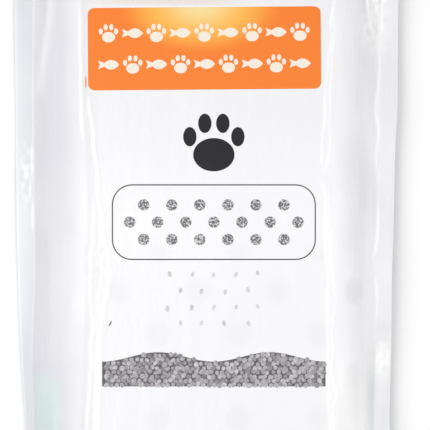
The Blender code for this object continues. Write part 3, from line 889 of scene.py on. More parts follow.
    # Each crease also paints a highlight along itself into the film's colour; one of them is only
    # that painted highlight.
    creases: tuple[Crease, ...] = (
        # Along the stack's left edge, from the head to the foot.
        Crease(((0.108, -0.0650), (0.0876, -0.0647), (0.0519, -0.0642), (0.0417, -0.0639),
                (0.0315, -0.0629), (0.0223, -0.0617)), 0.00022, 0.00080),
        Crease(((0.0070, -0.0581), (-0.0067, -0.0573), (-0.0195, -0.0576), (-0.0287, -0.0594),
                (-0.0338, -0.0584), (-0.0399, -0.0593), (-0.0501, -0.0591), (-0.0654, -0.0578),
                (-0.0730, -0.0586), (-0.0858, -0.0589), (-0.1011, -0.0599), (-0.1164, -0.0609),
                (-0.1291, -0.0617)), 0.00024, 0.00095),
        Crease(((0.0580, -0.0606), (0.0468, -0.0596), (0.0391, -0.0581), (0.0289, -0.0573),
                (0.0213, -0.0563), (0.0111, -0.0555), (-0.0017, -0.0545), (-0.0103, -0.0527),
                (-0.0210, -0.0525)), 0.00024, 0.00090, fade=0.010),
        Crease(((-0.0135, -0.0535), (-0.0195, -0.0515), (-0.0256, -0.0502), (-0.0348, -0.0494),
                (-0.0450, -0.0499), (-0.0491, -0.0502), (-0.0531, -0.0525),
                (-0.0613, -0.0538)), 0.00026, 0.00090, fade=0.008),
        Crease(((-0.0501, -0.0520), (-0.0603, -0.0537), (-0.0705, -0.0543), (-0.0807, -0.0548),
                (-0.0934, -0.0550), (-0.1062, -0.0553), (-0.1164, -0.0555),
                (-0.1291, -0.0558)), 0.00032, 0.00150, unevenness=0.15, fade=0.008),
        # Along the stack's right edge: a pair by the head and a pair by the foot.
        Crease(((0.1200, 0.0652), (0.1029, 0.0648), (0.0978, 0.0640), (0.0927, 0.0636),
                (0.0860, 0.0635), (0.0723, 0.0620), (0.0621, 0.0609), (0.0519, 0.0604),
                (0.0366, 0.0594), (0.0274, 0.0586), (0.0111, 0.0588)), 0.00022, 0.00062,
               fade=0.012),
        Crease(((0.1018, 0.0653), (0.0927, 0.0647), (0.0845, 0.0649), (0.0723, 0.0637),
                (0.0621, 0.0632), (0.0519, 0.0627), (0.0366, 0.0625), (0.0238, 0.0622),
                (0.0182, 0.0609), (0.0111, 0.0590)), 0.00022, 0.00062, fade=0.008),
        Crease(((0.0152, 0.0586), (0.0060, 0.0602), (-0.0017, 0.0606), (-0.0195, 0.0604),
                (-0.0297, 0.0612), (-0.0450, 0.0622), (-0.0603, 0.0617), (-0.0756, 0.0622),
                (-0.0934, 0.0620), (-0.1062, 0.0627), (-0.1164, 0.0630), (-0.1291, 0.0632)),
               0.00024, 0.00085, unevenness=0.15, fade=0.010),
        Crease(((0.0060, 0.0617), (-0.0195, 0.0625), (-0.0297, 0.0632), (-0.0424, 0.0645),
                (-0.0501, 0.0660), (-0.0603, 0.0643), (-0.0756, 0.0640), (-0.0934, 0.0645),
                (-0.0995, 0.0663), (-0.1031, 0.0650), (-0.1164, 0.0645), (-0.1291, 0.0648)),
               0.00024, 0.00075, unevenness=0.15, fade=0.010),
        # On the left seal.
        Crease(((0.0330, -0.0903), (0.0216, -0.0905), (0.0061, -0.0910), (-0.0067, -0.0903),
                (-0.0186, -0.0897)), 0.00012, 0.00040, fade=0.008, gloss=0.8),
        # Along the right seal's inner edge.
        Crease(((0.1093, 0.0901), (0.0938, 0.0899), (0.0861, 0.0892), (0.0783, 0.0887),
                (0.0577, 0.0884), (0.0474, 0.0876), (0.0397, 0.0881), (0.0268, 0.0876),
                (0.0113, 0.0879), (-0.0067, 0.0879), (-0.0145, 0.0881), (-0.0222, 0.0869),
                (-0.0310, 0.0850)), 0.00018, 0.00072, unevenness=0.35, fade=0.006, gloss=1.1),
        Crease(((-0.0361, 0.0856), (-0.0454, 0.0874), (-0.0532, 0.0876), (-0.0609, 0.0866),
                (-0.0753, 0.0866)), 0.00016, 0.00060, unevenness=0.5, fade=0.006, gloss=1.0),
        # Loops beside the right seal's head.
        Crease(((0.1120, 0.0825), (0.1041, 0.0827), (0.0989, 0.0830), (0.0938, 0.0835),
                (0.0881, 0.0845)), 0.00012, 0.00062, fade=0.003, gloss=1.1),
        Crease(((0.1120, 0.0861), (0.1041, 0.0858), (0.0979, 0.0848), (0.0928, 0.0844),
                (0.0881, 0.0845)), 0.00012, 0.00062, fade=0.003, gloss=1.1),
        Crease(((0.1120, 0.0871), (0.1041, 0.0876), (0.1000, 0.0887), (0.0964, 0.0897),
                (0.0917, 0.0898)), 0.00012, 0.00062, fade=0.003, gloss=1.1),
        Crease(((0.1015, 0.0869), (0.0969, 0.0879), (0.0928, 0.0889), (0.0886, 0.0892)),
               0.00016, 0.00045, fade=0.003),
        # A painted sheen down the left slope, with no ridge under it, and a bead on the right seal.
        Crease(((0.1160, -0.0800), (0.0870, -0.0820), (0.0725, -0.0845), (0.0500, -0.0882)),
               0.0, 0.00230, unevenness=0.1, fade=0.012, gloss=0.30),
        Crease(((0.0608, 0.0881), (0.0567, 0.0874), (0.0505, 0.0866), (0.0443, 0.0871),
                (0.0381, 0.0884)), 0.00012, 0.00070, fade=0.004, gloss=1.1),
    )
    folds: tuple[Fold, ...] = (
        Fold(Side.LEFT, (0.116, 0.60), (0.050, 0.95), 0.0007, 0.0036),
        Fold(Side.LEFT, (-0.050, 0.20), (-0.118, 0.55), 0.0004, 0.0040),
        Fold(Side.RIGHT, (0.120, 0.35), (0.080, 0.70), 0.0003, 0.0030),
        Fold(Side.RIGHT, (-0.060, 0.15), (-0.122, 0.40), 0.0002, 0.0040),
    )

    @property
    def seal_half(self) -> Place:
        """Half width and half length of the seals' inner outline."""
        return (self.stack_width / 2 + self.side_run, self.stack_length / 2 + self.end_run)

    @property
    def pouch_half(self) -> Place:
        """Half width and half length of the whole pouch."""
        return (self.seal_half[0] + self.side_seal, self.seal_half[1] + self.end_seal)

    def draw_in(self, side: np.ndarray | float, y: np.ndarray | float) -> np.ndarray:
        """How far the full pouch draws this side's edge in at this place along it.

        Args:
            side: below 0 on the left, above 0 on the right.
            y: places along the pack.

        Returns:
            The distance, in metres.
        """
        half = self.pouch_half[1]
        from_head = np.clip((half - y) / (2 * half), 0.0, 1.0)
        release = ramp(y, -half, self.foot_release)
        left, right = (
            full * from_head**curve * release - smooth_through(y, drift)
            for (full, curve), drift in ((self.left_draw_in, self.left_drift),
                                         (self.right_draw_in, self.right_drift)))
        return np.where(np.asarray(side) > 0, right, left)

    def seal_line(self, side: np.ndarray | float, y: np.ndarray | float) -> np.ndarray:
        """How far from the middle this side's seal begins, at this place along it."""
        lines = [smooth_through(y, stops) for stops in (self.left_seal_line, self.right_seal_line)]
        return np.where(np.asarray(side) > 0, lines[1], lines[0])

    def waist(self, y: np.ndarray) -> np.ndarray:
        """How far the film draws the stack's long edges in."""
        inside = np.abs(y) < self.stack_length / 2
        return inside * self.stack_waist * np.cos(math.pi * y / self.stack_length) ** 2

    def grid(self) -> tuple[np.ndarray, np.ndarray]:
        """Places of the film's points, dense where it creases.

        Returns:
            X and Y, each with a row for each place along the pack.
        """
        half_x, half_y = self.pouch_half
        seal_y, stack_y = self.seal_half[1], self.stack_length / 2
        y = self._between((-half_y, -seal_y, -stack_y, stack_y, seal_y, half_y), self.rows)
        rows = []
        for place in y:
            on_left, on_right = (float(self.draw_in(side.value, place)) for side in Side)
            left_seal, right_seal = (float(self.seal_line(side.value, place)) for side in Side)
            edge = self.stack_width / 2 - float(self.waist(place))
            left, right = self.stack_offset - edge, self.stack_offset + edge
            stops = (on_left - half_x, -left_seal, left, left + self.crease_zone[0],
                     right - self.crease_zone[1], right, right_seal, half_x - on_right)
            rows.append(self._between(stops, self.columns))
        x = np.array(rows)
        return self._round_corners(x, np.broadcast_to(y[:, None], x.shape))

    @staticmethod
    def _between(stops: tuple[float, ...], counts: tuple[int, ...]) -> np.ndarray:
        """Places from the first stop to the last, with a count of steps for each gap.

        Args:
            stops: the stops.
            counts: a count for each gap between two stops.

        Returns:
            The places.
        """
        runs = zip(stops, stops[1:], counts)
        places = [np.linspace(start, end, count, endpoint=False) for start, end, count in runs]
        return np.concatenate([*places, [stops[-1]]])

    def _round_corners(self, x: np.ndarray, y: np.ndarray) -> tuple[np.ndarray, np.ndarray]:
        """Bends the grid's corners to the pouch's corner radius.

        Args:
            x: places across the pack.
            y: places along it.

        Returns:
            The bent X and Y.
        """
        radius = self.pouch_corner
        half_x = self.pouch_half[0] - self.draw_in(x, y)
        over_x = np.clip(np.abs(x) - (half_x - radius), 0.0, None)
        over_y = np.clip(np.abs(y) - (self.pouch_half[1] - radius), 0.0, None)
        reach = np.maximum(over_x, over_y)
        straight = np.maximum(np.hypot(over_x, over_y), TINY)
        scale = reach / straight
        inner = (over_x > 0) & (over_y > 0)
        scale = np.where(inner, scale, 1.0)
        new_x = x - np.sign(x) * over_x * (1 - scale)
        new_y = y - np.sign(y) * over_y * (1 - scale)
        return new_x, new_y

    def lie(self, x: np.ndarray, y: np.ndarray, inset: float = 0.0) -> Lie:
        """Works out how far each point lies down the slope and out across the seal.

        Args:
            x: places across the pack.
            y: places along it.
            inset: how far the flat that the film leaves lies inside the stack's outline.

        Returns:
            The points' lie.
        """
        seal_x, seal_y = self.seal_half
        flat_x = self.stack_width / 2 - self.waist(y) - inset
        flat_y = self.stack_length / 2 - inset
        off = x - self.stack_offset
        out_x, out_y, out = self._rounded_box(off, y, flat_x, flat_y, self.stack_corner - inset)
        line = self.seal_line(x, y)
        _, _, beyond = self._rounded_box(x, y, line, seal_y, self.seal_corner)
        down = np.maximum(out, 0.0)
        left_over = np.maximum(-beyond, 0.0)
        share = down / np.maximum(down + left_over, TINY)
        side_width = self.pouch_half[0] - self.draw_in(x, y) - line
        width = np.where(np.abs(x) > line, side_width, self.end_seal)
        margin = np.clip(beyond / width, 0.0, 1.0)
        straight_x = flat_x - self.stack_corner + (seal_x - flat_x) * share
        straight_y = flat_y - self.stack_corner + (seal_y - flat_y) * share
        length = np.maximum(np.hypot(out_x, out_y), TINY)
        return Lie(x, y, out, share, margin,
                   np.clip(x / straight_x, -1.0, 1.0), np.clip(y / straight_y, -1.0, 1.0),
                   np.where(out > 0, np.abs(out_x) / length, 0.0))

    @staticmethod
    def _rounded_box(x: np.ndarray, y: np.ndarray, half_x: np.ndarray, half_y: float,
                     radius: float) -> tuple[np.ndarray, np.ndarray, np.ndarray]:
        """Distance outside a rounded rectangle, and the way outwards from its core.

        Args:
            x: places across the pack.
            y: places along it.
            half_x: its half width.
            half_y: its half length.
            radius: its corners' radius.

        Returns:
            The way's X and Y, and the distance.
        """
        over_x = np.abs(x) - (half_x - radius)
        over_y = np.abs(y) - (half_y - radius)
        away_x, away_y = np.maximum(over_x, 0.0), np.maximum(over_y, 0.0)
        inside = np.minimum(np.maximum(over_x, over_y), 0.0)
        return away_x, away_y, np.hypot(away_x, away_y) + inside - radius

    def seal_level(self, x: np.ndarray, y: np.ndarray, margin: np.ndarray) -> np.ndarray:
        """Height of the seal's middle: lower on the left, where it lies on the table.

        Args:
            x: places across the pack.
            y: places along it.
            margin: how far out across the seal they lie.

        Returns:
            The height, in metres.
        """
        place = y + self.seal_wave_slant * x
        wave = self.seal_wave_height * uneven_wave(place, self.seal_wave_length, 0.0)
        lean = self.seal_lean * x / self.pouch_half[0]
        return self.seal_height + lean - self.seal_droop * margin + wave

    def gather(self, lie: Lie) -> np.ndarray:
        """Folds that fan out over both ends and die out along the sides.

        Args:
            lie: the points' lie.

        Returns:
            Their height, between -1 and 1.
        """
        seal_x, seal_y = self.seal_half
        along_side = (1 - np.abs(lie.core_y)) * seal_y
        place = np.sign(lie.core_x) * (np.abs(lie.core_x) * seal_x + along_side)
        by_end = ramp(np.abs(lie.y), *self.gather_run)
        reach = bump(along_side / self.gather_reach) * by_end
        return uneven_wave(place, self.gather_pitch, lie.core_y) * reach

    def front(self, lie: Lie) -> np.ndarray:
        """Height of the front film.

        Args:
            lie: the points' lie.

        Returns:
            The height, in metres.
        """
        x, y, share = lie.x, lie.y, lie.share
        low = self.seal_level(x, y, lie.margin) + self.seal_thickness / 2
        window = np.sin(math.pi * share)
        z = self.stack_height + (low - self.stack_height) * share**self.top_fullness
        z = z + window * self.gather_height * self.gather(lie)
        wave = lie.side_share * uneven_wave(y, self.side_wave_length, np.sign(x))
        z = z + window * self.side_wave_height * wave
        lift = sum(fold.rise(self.side_run, x, share, y) for fold in self.folds)
        z = z + np.minimum(1.0, 2 * window) * lift
        z = z + self.plateau_swell.rise(x, y, 1 - ramp(share, 0.0, self.swell_fade))
        z = z + self.slack_streak.rise(x, y, window)
        z = z + sum(crease.height * crease.shape(x, y) for crease in self.creases)
        facets = sum(patch.strength * patch.cover(x, y) for patch in self.crumpled)
        facets = facets + self.seal_crinkle * ramp(lie.margin, 0.0, self.seal_crinkle_run)
        return z + self.crinkle.rise(x, y, facets)

    def back(self, lie: Lie) -> np.ndarray:
        """Height of the back film.

        Args:
            lie: the points' lie.

        Returns:
            The height, in metres.
        """
        rise = self.seal_level(lie.x, lie.y, lie.margin) - self.seal_thickness / 2
        window = np.sin(math.pi * lie.share)
        swell = 1 + window * self.base_gather * self.gather(lie)
        return rise * lie.share**self.base_fullness * swell

    def build(self) -> bpy.types.Object:
        """Builds the pouch as one closed mesh.

        Returns:
            The object, whose faces carry the front's or the back's material number.
        """
        x, y = self.grid()
        front_lie, back_lie = self.lie(x, y), self.lie(x, y, self.base_inset)
        front = self.front(front_lie)
        back = np.minimum(self.back(back_lie), front - self.seal_thickness)
        rows, columns = x.shape
        count = rows * columns
        points = np.concatenate([np.stack([x, y, front], -1).reshape(-1, 3),
                                 np.stack([x, y, back], -1).reshape(-1, 3)])
        index = np.arange(count).reshape(rows, columns)
        quads = np.stack([index[:-1, :-1], index[:-1, 1:], index[1:, 1:], index[1:, :-1]], -1)
        quads = quads.reshape(-1, 4)
        ring = np.concatenate([index[0, :-1], index[:-1, -1], index[-1, :0:-1], index[:0:-1, 0]])
        follow = np.roll(ring, -1)
        edge = np.stack([ring, ring + count, follow + count, follow], -1)
        faces = np.concatenate([quads, quads[:, ::-1] + count, edge])
        mesh = bpy.data.meshes.new(self.name)
        mesh.from_pydata(points.tolist(), [], faces.tolist())
        mesh.polygons.foreach_set("use_smooth", [True] * len(faces))
        on_back = np.arange(len(faces)) >= len(quads)
        on_back[2 * len(quads):] = False
        mesh.polygons.foreach_set("material_index", on_back.astype(int).tolist())
        self._keep(mesh, front_lie, back_lie)
        pouch = bpy.data.objects.new(self.name, mesh)
        bpy.context.scene.collection.objects.link(pouch)
        return pouch

    def _keep(self, mesh: bpy.types.Mesh, front: Lie, back: Lie) -> None:
        """Keeps on the mesh what the film's material reads.

        Args:
            mesh: the pouch's mesh.
            front: the lie of the front film's points.
            back: the lie of the back film's points.
        """
        x, y = front.x, front.y
        # Painted highlights along each crease and on the patches of painted glints, kept as the
        # crease value.
        gloss = sum(crease.gloss * crease.shape(x, y) for crease in self.creases)
        facets = self.facets.at(x, y)
        for patch in self.shining:
            gloss = gloss + patch.cover(x, y) * (patch.strength + patch.sparkle * facets)
        # slack and seal keep the film's own grey with painted shade, and crease keeps the painted
        # highlights.
        kept = {
            "slack": [self._slack_and_shade(lie) for lie in (front, back)],
            "seal": [self._sealed(lie) for lie in (front, back)],
            "crease": [np.clip(gloss, 0.0, 1.0), np.zeros_like(gloss)],
        }
        for name, values in kept.items():
            layer = mesh.attributes.new(name, "FLOAT", "POINT")
            flat = np.concatenate([value.ravel() for value in values])
            layer.data.foreach_set("value", flat.astype(np.float32))

    def _slack_and_shade(self, lie: Lie) -> np.ndarray:
        """How much the film lacks liners behind it: 0 well inside their edge, 1 well clear.

        Args:
            lie: the points' lie.

        Returns:
            The share, also a little over 1 where it is darkest. Besides the film's own grey where
            no liners back it, the share carries painted shade, set along each side and deeper on
            the left, where the left lamps light the slope more strongly.
        """
        by_seal, less = self.left_thin_share
        thin = by_seal - less * ramp(lie.y, *self.left_thin_along)
        left = ramp(lie.clear, *self.left_slack_run)
        left = left * (1 - thin * ramp(lie.share, *self.left_thin_run))
        left = left * smooth_through(lie.y, self.left_slack)
        right = ramp(lie.share, *self.right_slack_run)
        right = right * (1 - self.right_thin_share * ramp(lie.share, *self.right_thin_run))
        right = right * smooth_through(lie.y, self.right_slack)
        off_seal = 1 - ramp(lie.margin, 0.0, self.seal_blend)
        return np.where(lie.x < 0, left, right) * off_seal

    def _sealed(self, lie: Lie) -> np.ndarray:
        """How strongly the seal's own shade shows.

        Args:
            lie: the points' lie.

        Returns:
            The share: partly the seal's own grey and partly painted shade, which is much deeper on
                the left seal, darker by its inner edge, and fades at its outer rim as painted light
                there.
        """
        # Painted shade on the left seal, deepest by its inner edge and fading at the outer rim as
        # painted light.
        inner, less = self.left_rim_share
        left = smooth_through(lie.y, self.left_seal_shade)
        left = left * (inner - less * lie.margin) * ramp(lie.margin, *self.left_rim_run)
        right = smooth_through(lie.y, self.right_seal_shade)
        return ramp(lie.margin, 0.0, self.seal_blend) * np.where(lie.x < 0, left, right)

    def dress(self, pouch: bpy.types.Object) -> None:
        """Gives the pouch its finishes, and its place in the frame.

        Args:
            pouch: the object that build made.
        """
        pouch.data.materials.append(FilmFinish().material())
        pouch.data.materials.append(BackFinish().material())
        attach(pouch, BODY)
        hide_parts(CAD_NODE)


def rounded_rectangle(centre: Place, size: Place, radius: float, arc_points: int = 6) -> Outline:
    """Outline of a rounded rectangle, counter-clockwise.

    Args:
        centre: its middle.
        size: its width and length.
        radius: of its corners.
        arc_points: how many steps each corner has.

    Returns:
        The outline.
    """
    half = Vector(size) / 2
    points = []
    for quarter in range(4):
        corner = half - Vector((radius, radius))
        corner.x *= 1 if quarter in (0, 3) else -1
        corner.y *= 1 if quarter in (0, 1) else -1
        for i in range(arc_points + 1):
            turn = QUARTER_TURN * (quarter + i / arc_points)
            way = Vector((math.cos(turn), math.sin(turn)))
            points.append(Vector(centre) + corner + way * radius)
    return points


def turned(outline: Outline, centre: Place, angle: float) -> Outline:
    """An outline turned about a place, counter-clockwise."""
    middle, turn = Vector(centre), Matrix.Rotation(angle, 2)
    return [middle + turn @ (point - middle) for point in outline]


def ellipse(centre: Place, half_size: Place, count: int) -> Outline:
    """Outline of an ellipse, counter-clockwise.

    Args:
        centre: its middle.
        half_size: its half width and half length.
        count: how many points it has.

    Returns:
        The outline.
    """
    turns = [4 * QUARTER_TURN * i / count for i in range(count)]
    reaches = [Vector((half_size[0] * math.cos(t), half_size[1] * math.sin(t))) for t in turns]
    return [Vector(centre) + reach for reach in reaches]


def paw_outlines(size: float, count: int) -> list[Outline]:
    """A plain paw mark: one broad pad and four toes, placed by shares of its width.

    Args:
        size: its width.
        count: how many points the pad's outline has.

    Returns:
        The outlines of the pad and the toes.
    """
    pad = ellipse((0.0, -0.18 * size), (0.31 * size, 0.25 * size), count)
    toes = [(-0.36, 0.09), (-0.135, 0.29), (0.135, 0.29), (0.36, 0.09)]
    marks = [ellipse((x * size, y * size), (0.10 * size, 0.145 * size), count * 2 // 3)
             for x, y in toes]
    return [pad, *marks]


def fish_outline(size: float, count: int) -> Outline:
    """A plain fish: an oval body and a notched tail, placed by shares of its length.

    Args:
        size: its length.
        count: how many steps each side of the body has.

    Returns:
        The outline.
    """
    body = []
    for i in range(count + 1):
        t = 0.90 * i / count
        body.append(Vector((0.5 - 0.78 * t, 0.23 * math.sin(math.pi * t) ** 0.8)) * size)
    tail = [Vector(p) * size for p in ((-0.50, 0.20), (-0.42, 0.0), (-0.50, -0.20))]
    under = [Vector((p.x, -p.y)) for p in reversed(body[1:])]
    return body + tail + under


def plate(name: str, outlines: list[Outline], thickness: float, spacing: float) -> bpy.types.Object:
    """A flat closed plate at the origin for each outline.

    Args:
        name: the object's name.
        outlines: closed outlines, which don't touch each other.
        thickness: of the ink.
        spacing: of the points inside each outline, so that it can follow the film.

    Returns:
        The object, not yet in the scene's collection.
    """
    mesh = bmesh.new()
    below = {}
    for outline in outlines:
        ring = with_even_steps(outline, spacing)
        flat, _, cells, _, _, origins = delaunay_2d_cdt(
            ring + inside_points(ring, spacing), [], [list(range(len(ring)))],
            INSIDE_ONLY, WELD_DISTANCE, True)
        low, high = ([mesh.verts.new((*p, z)) for p in flat] for z in (0.0, thickness))
        below.update(zip(high, low))
        for cell in (cell for cell, origin in zip(cells, origins) if origin):
            mesh.faces.new([high[i] for i in cell])
            mesh.faces.new([low[i] for i in reversed(cell)])
    rims = [edge.verts[:] for edge in mesh.edges if edge.is_boundary and edge.verts[0] in below]
    for a, b in rims:
        mesh.faces.new((a, b, below[b], below[a]))
    bmesh.ops.recalc_face_normals(mesh, faces=mesh.faces)
    data = bpy.data.meshes.new(name)
    mesh.to_mesh(data)
    mesh.free()
    return bpy.data.objects.new(name, data)


def with_even_steps(outline: Outline, spacing: float) -> Outline:
    """A closed outline with points added along its long edges.

    Args:
        outline: the outline.
        spacing: about how far apart its points will be.

    Returns:
        The outline with its new points.
    """
    ring = []
    for start, end in zip(outline, outline[1:] + outline[:1]):
        count = max(1, round((end - start).length / spacing))
        ring += [start.lerp(end, i / count) for i in range(count)]
    return ring


def inside_points(ring: Outline, spacing: float) -> Outline:
    """Points on a square grid that lie well inside a closed outline.

    Args:
        ring: the outline.
        spacing: the grid's pitch.

    Returns:
        The points.
    """
    xs, ys = [p.x for p in ring], [p.y for p in ring]
    found = []
    for i in range(int((max(xs) - min(xs)) / spacing) + 1):
        for j in range(int((max(ys) - min(ys)) / spacing) + 1):
            place = Vector((min(xs) + (i + 0.5) * spacing, min(ys) + (j + 0.5) * spacing))
            near = min((place - p).length for p in ring)
            if near > spacing / 3 and winds_round(ring, place):
                found.append(place)
    return found


def winds_round(ring: Outline, place: Vector) -> bool:
    """Whether a closed outline goes round a place.

    Args:
        ring: the outline.
        place: the place.

    Returns:
        True where it does.
    """
    inside = False
    for a, b in zip(ring, ring[1:] + ring[:1]):
        crosses = (a.y > place.y) != (b.y > place.y)
        if crosses and place.x < a.x + (b.x - a.x) * (place.y - a.y) / (b.y - a.y):
            inside = not inside
    return inside


class GeometryTree(Graph):
    """A geometry tree with named inputs, which one piece at a time is made with."""

    RAY_TOP = 0.1

    def __init__(self, name: str) -> None:
        """Makes an empty tree with one geometry output.

        Args:
            name: the tree's name.
        """
        super().__init__(bpy.data.node_groups.new(name, "GeometryNodeTree"))
        for way in ("INPUT", "OUTPUT"):
            self.tree.interface.new_socket(
                "Geometry", in_out=way, socket_type="NodeSocketGeometry")
        self.entry = self.tree.nodes.new("NodeGroupInput")
        self.exit = self.tree.nodes.new("NodeGroupOutput")
        self.identifiers: dict[str, str] = {}

    def inlets(self, kind: str, *names: str) -> list[Wire]:
        """Adds named inputs of one kind to the tree.

        Args:
            kind: the kind of their sockets.
            names: their names.

        Returns:
            A wire from each.
        """
        for name in names:
            made = self.tree.interface.new_socket(
                name, in_out="INPUT", socket_type=f"NodeSocket{kind}")
            self.identifiers[name] = made.identifier
        return [Wire(self, self.entry.outputs[name]) for name in names]

    def vector(self, x: Wire | float, y: Wire | float, z: Wire | float) -> Wire:
        """A vector of three numbers."""
        return self.node("ShaderNodeCombineXYZ", values={0: x, 1: y, 2: z})

    def position(self) -> Wire:
        """Each point's X. Its Y is another output of the same node."""
        here = self.node("GeometryNodeInputPosition")
        return self.node("ShaderNodeSeparateXYZ", values={0: here})

    def chance(self, low: Wire | float, high: Wire | float, seed: Wire) -> Wire:
        """A random number between two others, for each point."""
        values = {2: low, 3: high, "Seed": seed}
        return self.node("FunctionNodeRandomValue", {"data_type": "FLOAT"}, values, 1)

    def shape(self, source: Wire, space: str = "ORIGINAL") -> Wire:
        """The geometry of an object."""
        settings = {"transform_space": space}
        return self.node("GeometryNodeObjectInfo", settings, {"Object": source}, "Geometry")

    def without(self, geometry: Wire, dropped: Wire) -> Wire:
        """The geometry less the points for which a value is 1."""
        values = {"Geometry": geometry, "Selection": dropped}
        return self.node("GeometryNodeDeleteGeometry", {"domain": "POINT"}, values)

    def drape(self, geometry: Wire) -> None:
        """Ends the tree: lays the geometry on the film and gives it its ink.

        Args:
            geometry: flat plates, or instances of them, in their places near Z = 0.
        """
        film, = self.inlets("Object", "Film")
        lift, = self.inlets("Float", "Lift")
        ink, = self.inlets("Material", "Ink")
        real = self.node("GeometryNodeRealizeInstances", values={0: geometry})
        here = self.position()
        hit = self.node("GeometryNodeRaycast", values={
            "Target Geometry": self.shape(film, "RELATIVE"),
            "Source Position": self.vector(here, here.outlet("Y"), self.RAY_TOP),
            "Ray Direction": (0.0, 0.0, -1.0),
            "Ray Length": 2 * self.RAY_TOP,
        }, outlet="Hit Position")
        level = self.node("ShaderNodeSeparateXYZ", values={0: hit}, outlet="Z")
        laid = self.node("GeometryNodeSetPosition", values={
            "Geometry": real, "Offset": self.vector(0.0, 0.0, level + lift)})
        inked = self.node("GeometryNodeSetMaterial", values={0: laid, 2: ink})
        self.feed(self.exit.inputs[0], inked)

    def make(self, name: str, values: dict[str, object]) -> bpy.types.Object:
        """Makes one piece with the tree.

        Args:
            name: the piece's name.
            values: a value for each named input.

        Returns:
            The piece, as a plain mesh with no modifier.
        """
        piece = bpy.data.objects.new(name, bpy.data.meshes.new(f"{name}_start"))
        bpy.context.scene.collection.objects.link(piece)
        modifier = piece.modifiers.new(name, "NODES")
        modifier.node_group = self.tree
        for key, value in values.items():
            modifier[self.identifiers[key]] = value
        graph = bpy.context.evaluated_depsgraph_get()
        made = bpy.data.meshes.new_from_object(piece.evaluated_get(graph), depsgraph=graph)
        piece.modifiers.clear()
        made.name = name
        piece.data = made
        return piece


def single_tree() -> GeometryTree:
    """A tree that lays one flat plate on the film.

    Returns:
        The tree, with inputs Motif, Film, Lift and Ink.
    """
    tree = GeometryTree("lay_plate")
    motif, = tree.inlets("Object", "Motif")
    tree.drape(tree.shape(motif))
    return tree


def line_tree() -> GeometryTree:
    """A tree that lays a thin line on the film, round a rounded rectangle.

    Returns:
        The tree, with an input for each size of the rectangle and the line.
    """
    tree = GeometryTree("lay_line")
    width, length, radius, stroke, thickness, spacing = tree.inlets(
        "Float", "Width", "Length", "Corner Radius", "Stroke", "Thickness", "Spacing")
    centre, = tree.inlets("Vector", "Centre")
    box = tree.node("GeometryNodeCurvePrimitiveQuadrilateral",
                    values={"Width": width, "Height": length})
    round_box = tree.node("GeometryNodeFilletCurve", {"mode": "POLY"},
                          {"Curve": box, "Radius": radius, "Count": 10, "Limit Radius": True})
    even = tree.node("GeometryNodeResampleCurve", {"mode": "LENGTH"},
                     {"Curve": round_box, "Length": spacing})
    section = tree.node("GeometryNodeCurvePrimitiveQuadrilateral",
                        values={"Width": stroke, "Height": thickness})
    band = tree.node("GeometryNodeCurveToMesh", values={"Curve": even, "Profile Curve": section})
    tree.drape(tree.node("GeometryNodeTransform", values={"Geometry": band, "Translation": centre}))
    return tree


def pattern_tree() -> GeometryTree:
    """A tree that lays staggered rows of one motif on the film.

    Returns:
        The tree, with an input for each field of Pattern.
    """
    tree = GeometryTree("lay_pattern")
    motif, = tree.inlets("Object", "Motif")
    centre, = tree.inlets("Vector", "Centre")
    columns, rows, skip, first, seed = tree.inlets(
        "Int", "Columns", "Rows", "Skip", "First", "Seed")
    pitch, row_pitch, stagger, trim, swell, swells = tree.inlets(
        "Float", "Pitch", "Row Pitch", "Stagger", "Trim", "Swell", "Swells")
    jitter, turn, smallest, room, lean = tree.inlets(
        "Float", "Jitter", "Turn", "Smallest", "Room", "Lean")

    # Rows of points, of which each row or every other column can start one place later.
    points = tree.node("GeometryNodeMeshGrid", values={
        "Size X": (columns - 1.0) * pitch, "Size Y": (rows - 1.0) * row_pitch,
        "Vertices X": columns, "Vertices Y": rows})
    place = tree.position()
    row = round(place.outlet("Y") / row_pitch + (rows - 1.0) * 0.5)
    column = round(place / pitch + (columns - 1.0) * 0.5)
    in_turn = tree.math("LESS_THAN", (row + column + first) % skip, 0.5)
    thinned = tree.without(points, 1.0 - in_turn)
    shift = (row + first) % 2.0 * stagger * pitch
    spread = tree.node("FunctionNodeRandomValue", {"data_type": "FLOAT_VECTOR"}, {
        "Min": (-1.0, -1.0, 0.0), "Max": (1.0, 1.0, 0.0), "Seed": seed})
    scaled = tree.node("ShaderNodeVectorMath", {"operation": "SCALE"},
                       {"Vector": spread, "Scale": jitter})
    moved = tree.node("ShaderNodeVectorMath", {"operation": "ADD"},
                      {0: scaled, 1: tree.vector(shift, 0.0, 0.0)})
    strewn = tree.node("GeometryNodeSetPosition", values={"Geometry": thinned, "Offset": moved})

    # The points above the swelling top and past either end are left out.
    after = tree.position()
    wave = tree.math("COSINE", after * swells, 0.0) * swell
    limit = (rows - 1.0) * row_pitch * 0.5 - trim - wave
    above = tree.math("GREATER_THAN", after.outlet("Y"), limit)
    beside = tree.math("GREATER_THAN", abs(after), room)
    kept = tree.without(strewn, tree.larger(above, beside))

    # Each motif has its own size, turn and tone.
    size = tree.chance(smallest, 1.0, seed + 1.0)
    angle = tree.chance(-1.0 * turn, turn, seed + 2.0)
    copies = tree.node("GeometryNodeInstanceOnPoints", values={
        "Points": kept, "Instance": tree.shape(motif),
        "Rotation": tree.vector(0.0, 0.0, angle), "Scale": tree.vector(size, size, 1.0)})
    toned = tree.node("GeometryNodeStoreNamedAttribute",
                      {"data_type": "FLOAT", "domain": "INSTANCE"},
                      {"Geometry": copies, "Name": "tone",
                       "Value": tree.chance(0.0, 1.0, seed + 3.0)})
    tree.drape(tree.node("GeometryNodeTransform", values={
        "Geometry": toned, "Translation": centre, "Rotation": tree.vector(0.0, 0.0, lean)}))
    return tree


